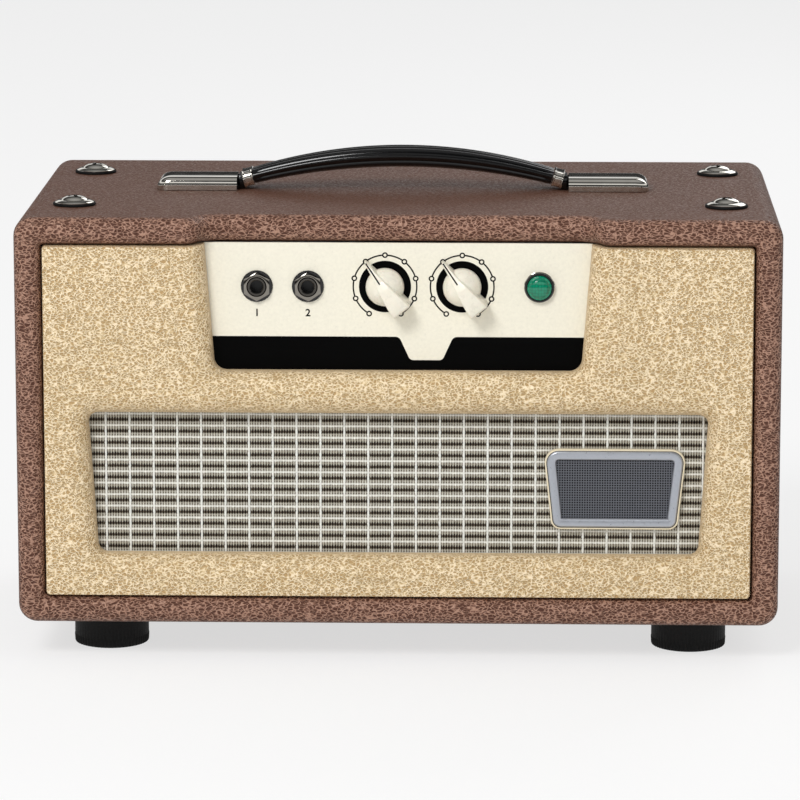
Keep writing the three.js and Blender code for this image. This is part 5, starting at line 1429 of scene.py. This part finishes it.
def transformer(node, core, coil):
    """Core sheets, flange and winding, laid out down from the chassis floor. The sheets are 1 mm
    apart, which is twice the real thing, and every other one is a little short, so that their
    edges show."""
    (width, depth, tall), (coil_wide, coil_deep) = core, coil
    centre, top = middle(node), high(node)[2]
    place = dict(origin=(centre[0], centre[1], top), **BELOW)
    sheets = []
    for k in range(depth):
        short = k % 2
        outline = box_outline(width - 0.5 * short, 0.92, 0.2, 0, k + 0.5 - depth / 2, 1)
        sheets.append(stack(np.array([np.column_stack([outline, np.full(len(outline), h)])
                                      for h in (1.6, tall - 0.3 * short)])))
    flange = plate(lambda inset: [drawn_in(box_outline(width + 14, depth * 0.5, 2), inset)],
                   [(0, 0), (0, 1.3), (0.3, 1.6)])
    winding = plate(lambda inset: [drawn_in(box_outline(coil_wide, coil_deep, 6), inset)],
                    [(1, tall * 0.17), (0, tall * 0.2), (0, tall * 0.8), (1, tall * 0.83)])
    make(node + "_set", [(put(together(*sheets), **place), core_iron),
                         (put(flange, **place), zinc), (put(winding, **place), wrapping)],
         replaces=[node])


transformer("mains_transformer", (66, 40, 50), (44, 60))
transformer("output_transformer", (56, 32, 44), (36, 50))

# %% [markdown]
# The rest of the CAD pieces are right as they are: they are plain, or hidden behind others. They
# only need a finish.


# %% Finishes for the pieces carried over
CARRIED_OVER = {
    chassis_steel: ["chassis"],
    cream_enamel: ["control_panel"],
    zinc: ["volume_pot", "tone_pot", "attenuator_switch", "left_handle_bolt",
           "right_handle_bolt"],
    nickel: ["volume_shaft", "tone_shaft"],
    steatite: ["preamp_valve_1_socket", "preamp_valve_2_socket", "power_valve_socket"],
    laminate: ["circuit_board"],
}
for surface_finish, names in CARRIED_OVER.items():
    for name in names:
        nodes[name].data.materials.clear()
        nodes[name].data.materials.append(surface_finish)
print(sum(map(len, CARRIED_OVER.values())), "CAD pieces carried over")

# %% [markdown]
# ## Light, floor and camera
# A pale room of even light, one large soft lamp in front and above and a weaker one behind: a
# colour then renders about as it is written. What the camera sees of the room is white. The
# floor glows a little in direct view, which makes it pale, and keeps the shadow. Mirror-like
# pieces see dark and light bands instead, as the flags and soft boxes of a studio give them,
# because chrome in an all-white room looks like grey paint.

# %% The studio
ROOM_LIGHT, FLOOR_GLOW, FLOOR_REACH = 0.56, 0.66, 14.0
scene = bpy.context.scene
scene.view_settings.view_transform = "Standard"
world = bpy.data.worlds.new("studio")
scene.world = world
world.use_nodes = True
sky = world.node_tree
sky.nodes.clear()
rays = add(sky, "LightPath")
up_or_down = add(sky, "SeparateXYZ", _0=add(sky, "TexCoord").outputs["Generated"])
band = add(sky, "ValToRGB", Fac=add(sky, "MapRange", Value=up_or_down.outputs[2], From_Min=-1.0,
                                    From_Max=1.0).outputs[0])
fill_stops(band, [(0.0, "#DCDCDC"), (0.46, "#8C8C8C"), (0.5, "#4C4C4C"), (0.575, "#2C2C2C"),
                  (0.63, "#FFFFFF"), (0.71, "#FFFFFF"), (0.75, "#242424"), (0.86, "#5A5A5A"),
                  (1.0, "#B4B4B4")])
plain = add(sky, "Background", Color=linear("#FFFFFF"), Strength=ROOM_LIGHT)
seen = add(sky, "Background", Color=linear("#FFFFFF"), Strength=1.0)
mirrored = add(sky, "Background", Color=band.outputs[0], Strength=1.0)
shiny = add(sky, "MixShader", _0=rays.outputs["Is Glossy Ray"], _1=plain.outputs[0],
            _2=mirrored.outputs[0])
direct = add(sky, "Math", {"operation": "MAXIMUM"}, _0=rays.outputs["Is Camera Ray"],
             _1=rays.outputs["Is Transmission Ray"])
whole = add(sky, "MixShader", _0=direct.outputs[0], _1=shiny.outputs[0], _2=seen.outputs[0])
out = sky.nodes.new("ShaderNodeOutputWorld")
sky.links.new(whole.outputs[0], out.inputs[0])

floor_finish, floor_tree, floor_surface = finish("pale_floor", Roughness=0.9,
                                                 Specular_IOR_Level=0.1)
floor_surface.inputs["Base Color"].default_value = linear("#F8F8F8")
floor_rays = add(floor_tree, "LightPath")
either = add(floor_tree, "Math", {"operation": "MAXIMUM"}, _0=floor_rays.outputs["Is Glossy Ray"],
             _1=floor_rays.outputs["Is Transmission Ray"])
any_seen = add(floor_tree, "Math", {"operation": "MAXIMUM"},
               _0=floor_rays.outputs["Is Camera Ray"], _1=either.outputs[0])
share = add(floor_tree, "Math", {"operation": "MULTIPLY"}, _0=any_seen.outputs[0],
            _1=FLOOR_GLOW)
white = add(floor_tree, "Emission", Color=linear("#FFFFFF"), Strength=1.0)
paler = add(floor_tree, "MixShader", _0=share.outputs[0], _1=floor_surface.outputs[0],
            _2=white.outputs[0])
feed(floor_tree, floor_tree.nodes["Material Output"].inputs[0], paler.outputs[0])
floor_mesh = bpy.data.meshes.new("floor")
floor_mesh.from_pydata([(FLOOR_REACH * x, FLOOR_REACH * y, 0)
                        for x, y in ((-1, -1), (1, -1), (1, 1), (-1, 1))], [], [(0, 1, 2, 3)])
floor_mesh.materials.append(floor_finish)
floor = bpy.data.objects.new("floor", floor_mesh)
scene.collection.objects.link(floor)


def soft_lamp(name, place, target, size, power):
    """A square area lamp of that size in metres, aimed from its place at a target."""
    data = bpy.data.lights.new(name, "AREA")
    data.shape, data.size, data.energy = "SQUARE", size, power
    lamp = bpy.data.objects.new(name, data)
    lamp.location = place
    lamp.rotation_euler = (Vector(target) - Vector(place)).to_track_quat("-Z", "Y").to_euler()
    scene.collection.objects.link(lamp)


# Lamps and camera are placed in metres.
HEAD_MIDDLE = (0, 0, 0.15)
soft_lamp("key_lamp", (-0.9, -2.0, 1.9), HEAD_MIDDLE, 0.9, 38)
soft_lamp("back_lamp", (1.0, 1.9, 1.6), HEAD_MIDDLE, 1.2, 10)
print(len(bpy.data.lights), "lamps and a floor", 2 * FLOOR_REACH, "m wide")

# %% [markdown]
# The camera stands about 2.3 m in front of the head with a long lens, a little to its right and
# above it, and looks slightly down.

# %% The camera
camera_data = bpy.data.cameras.new("camera")
camera_data.lens, camera_data.sensor_width = 209.9, 36
camera_data.clip_end = 60
camera = bpy.data.objects.new("camera", camera_data)
camera.location = (0.0646, -2.3895, 0.5679)
looking_down, turned_left = 10.76, 1.588
camera.rotation_euler = (math.radians(90 - looking_down), 0, math.radians(turned_left))
scene.collection.objects.link(camera)
scene.camera = camera
print("camera", round(camera_data.lens, 1), "mm at", tuple(round(v, 3) for v in camera.location))
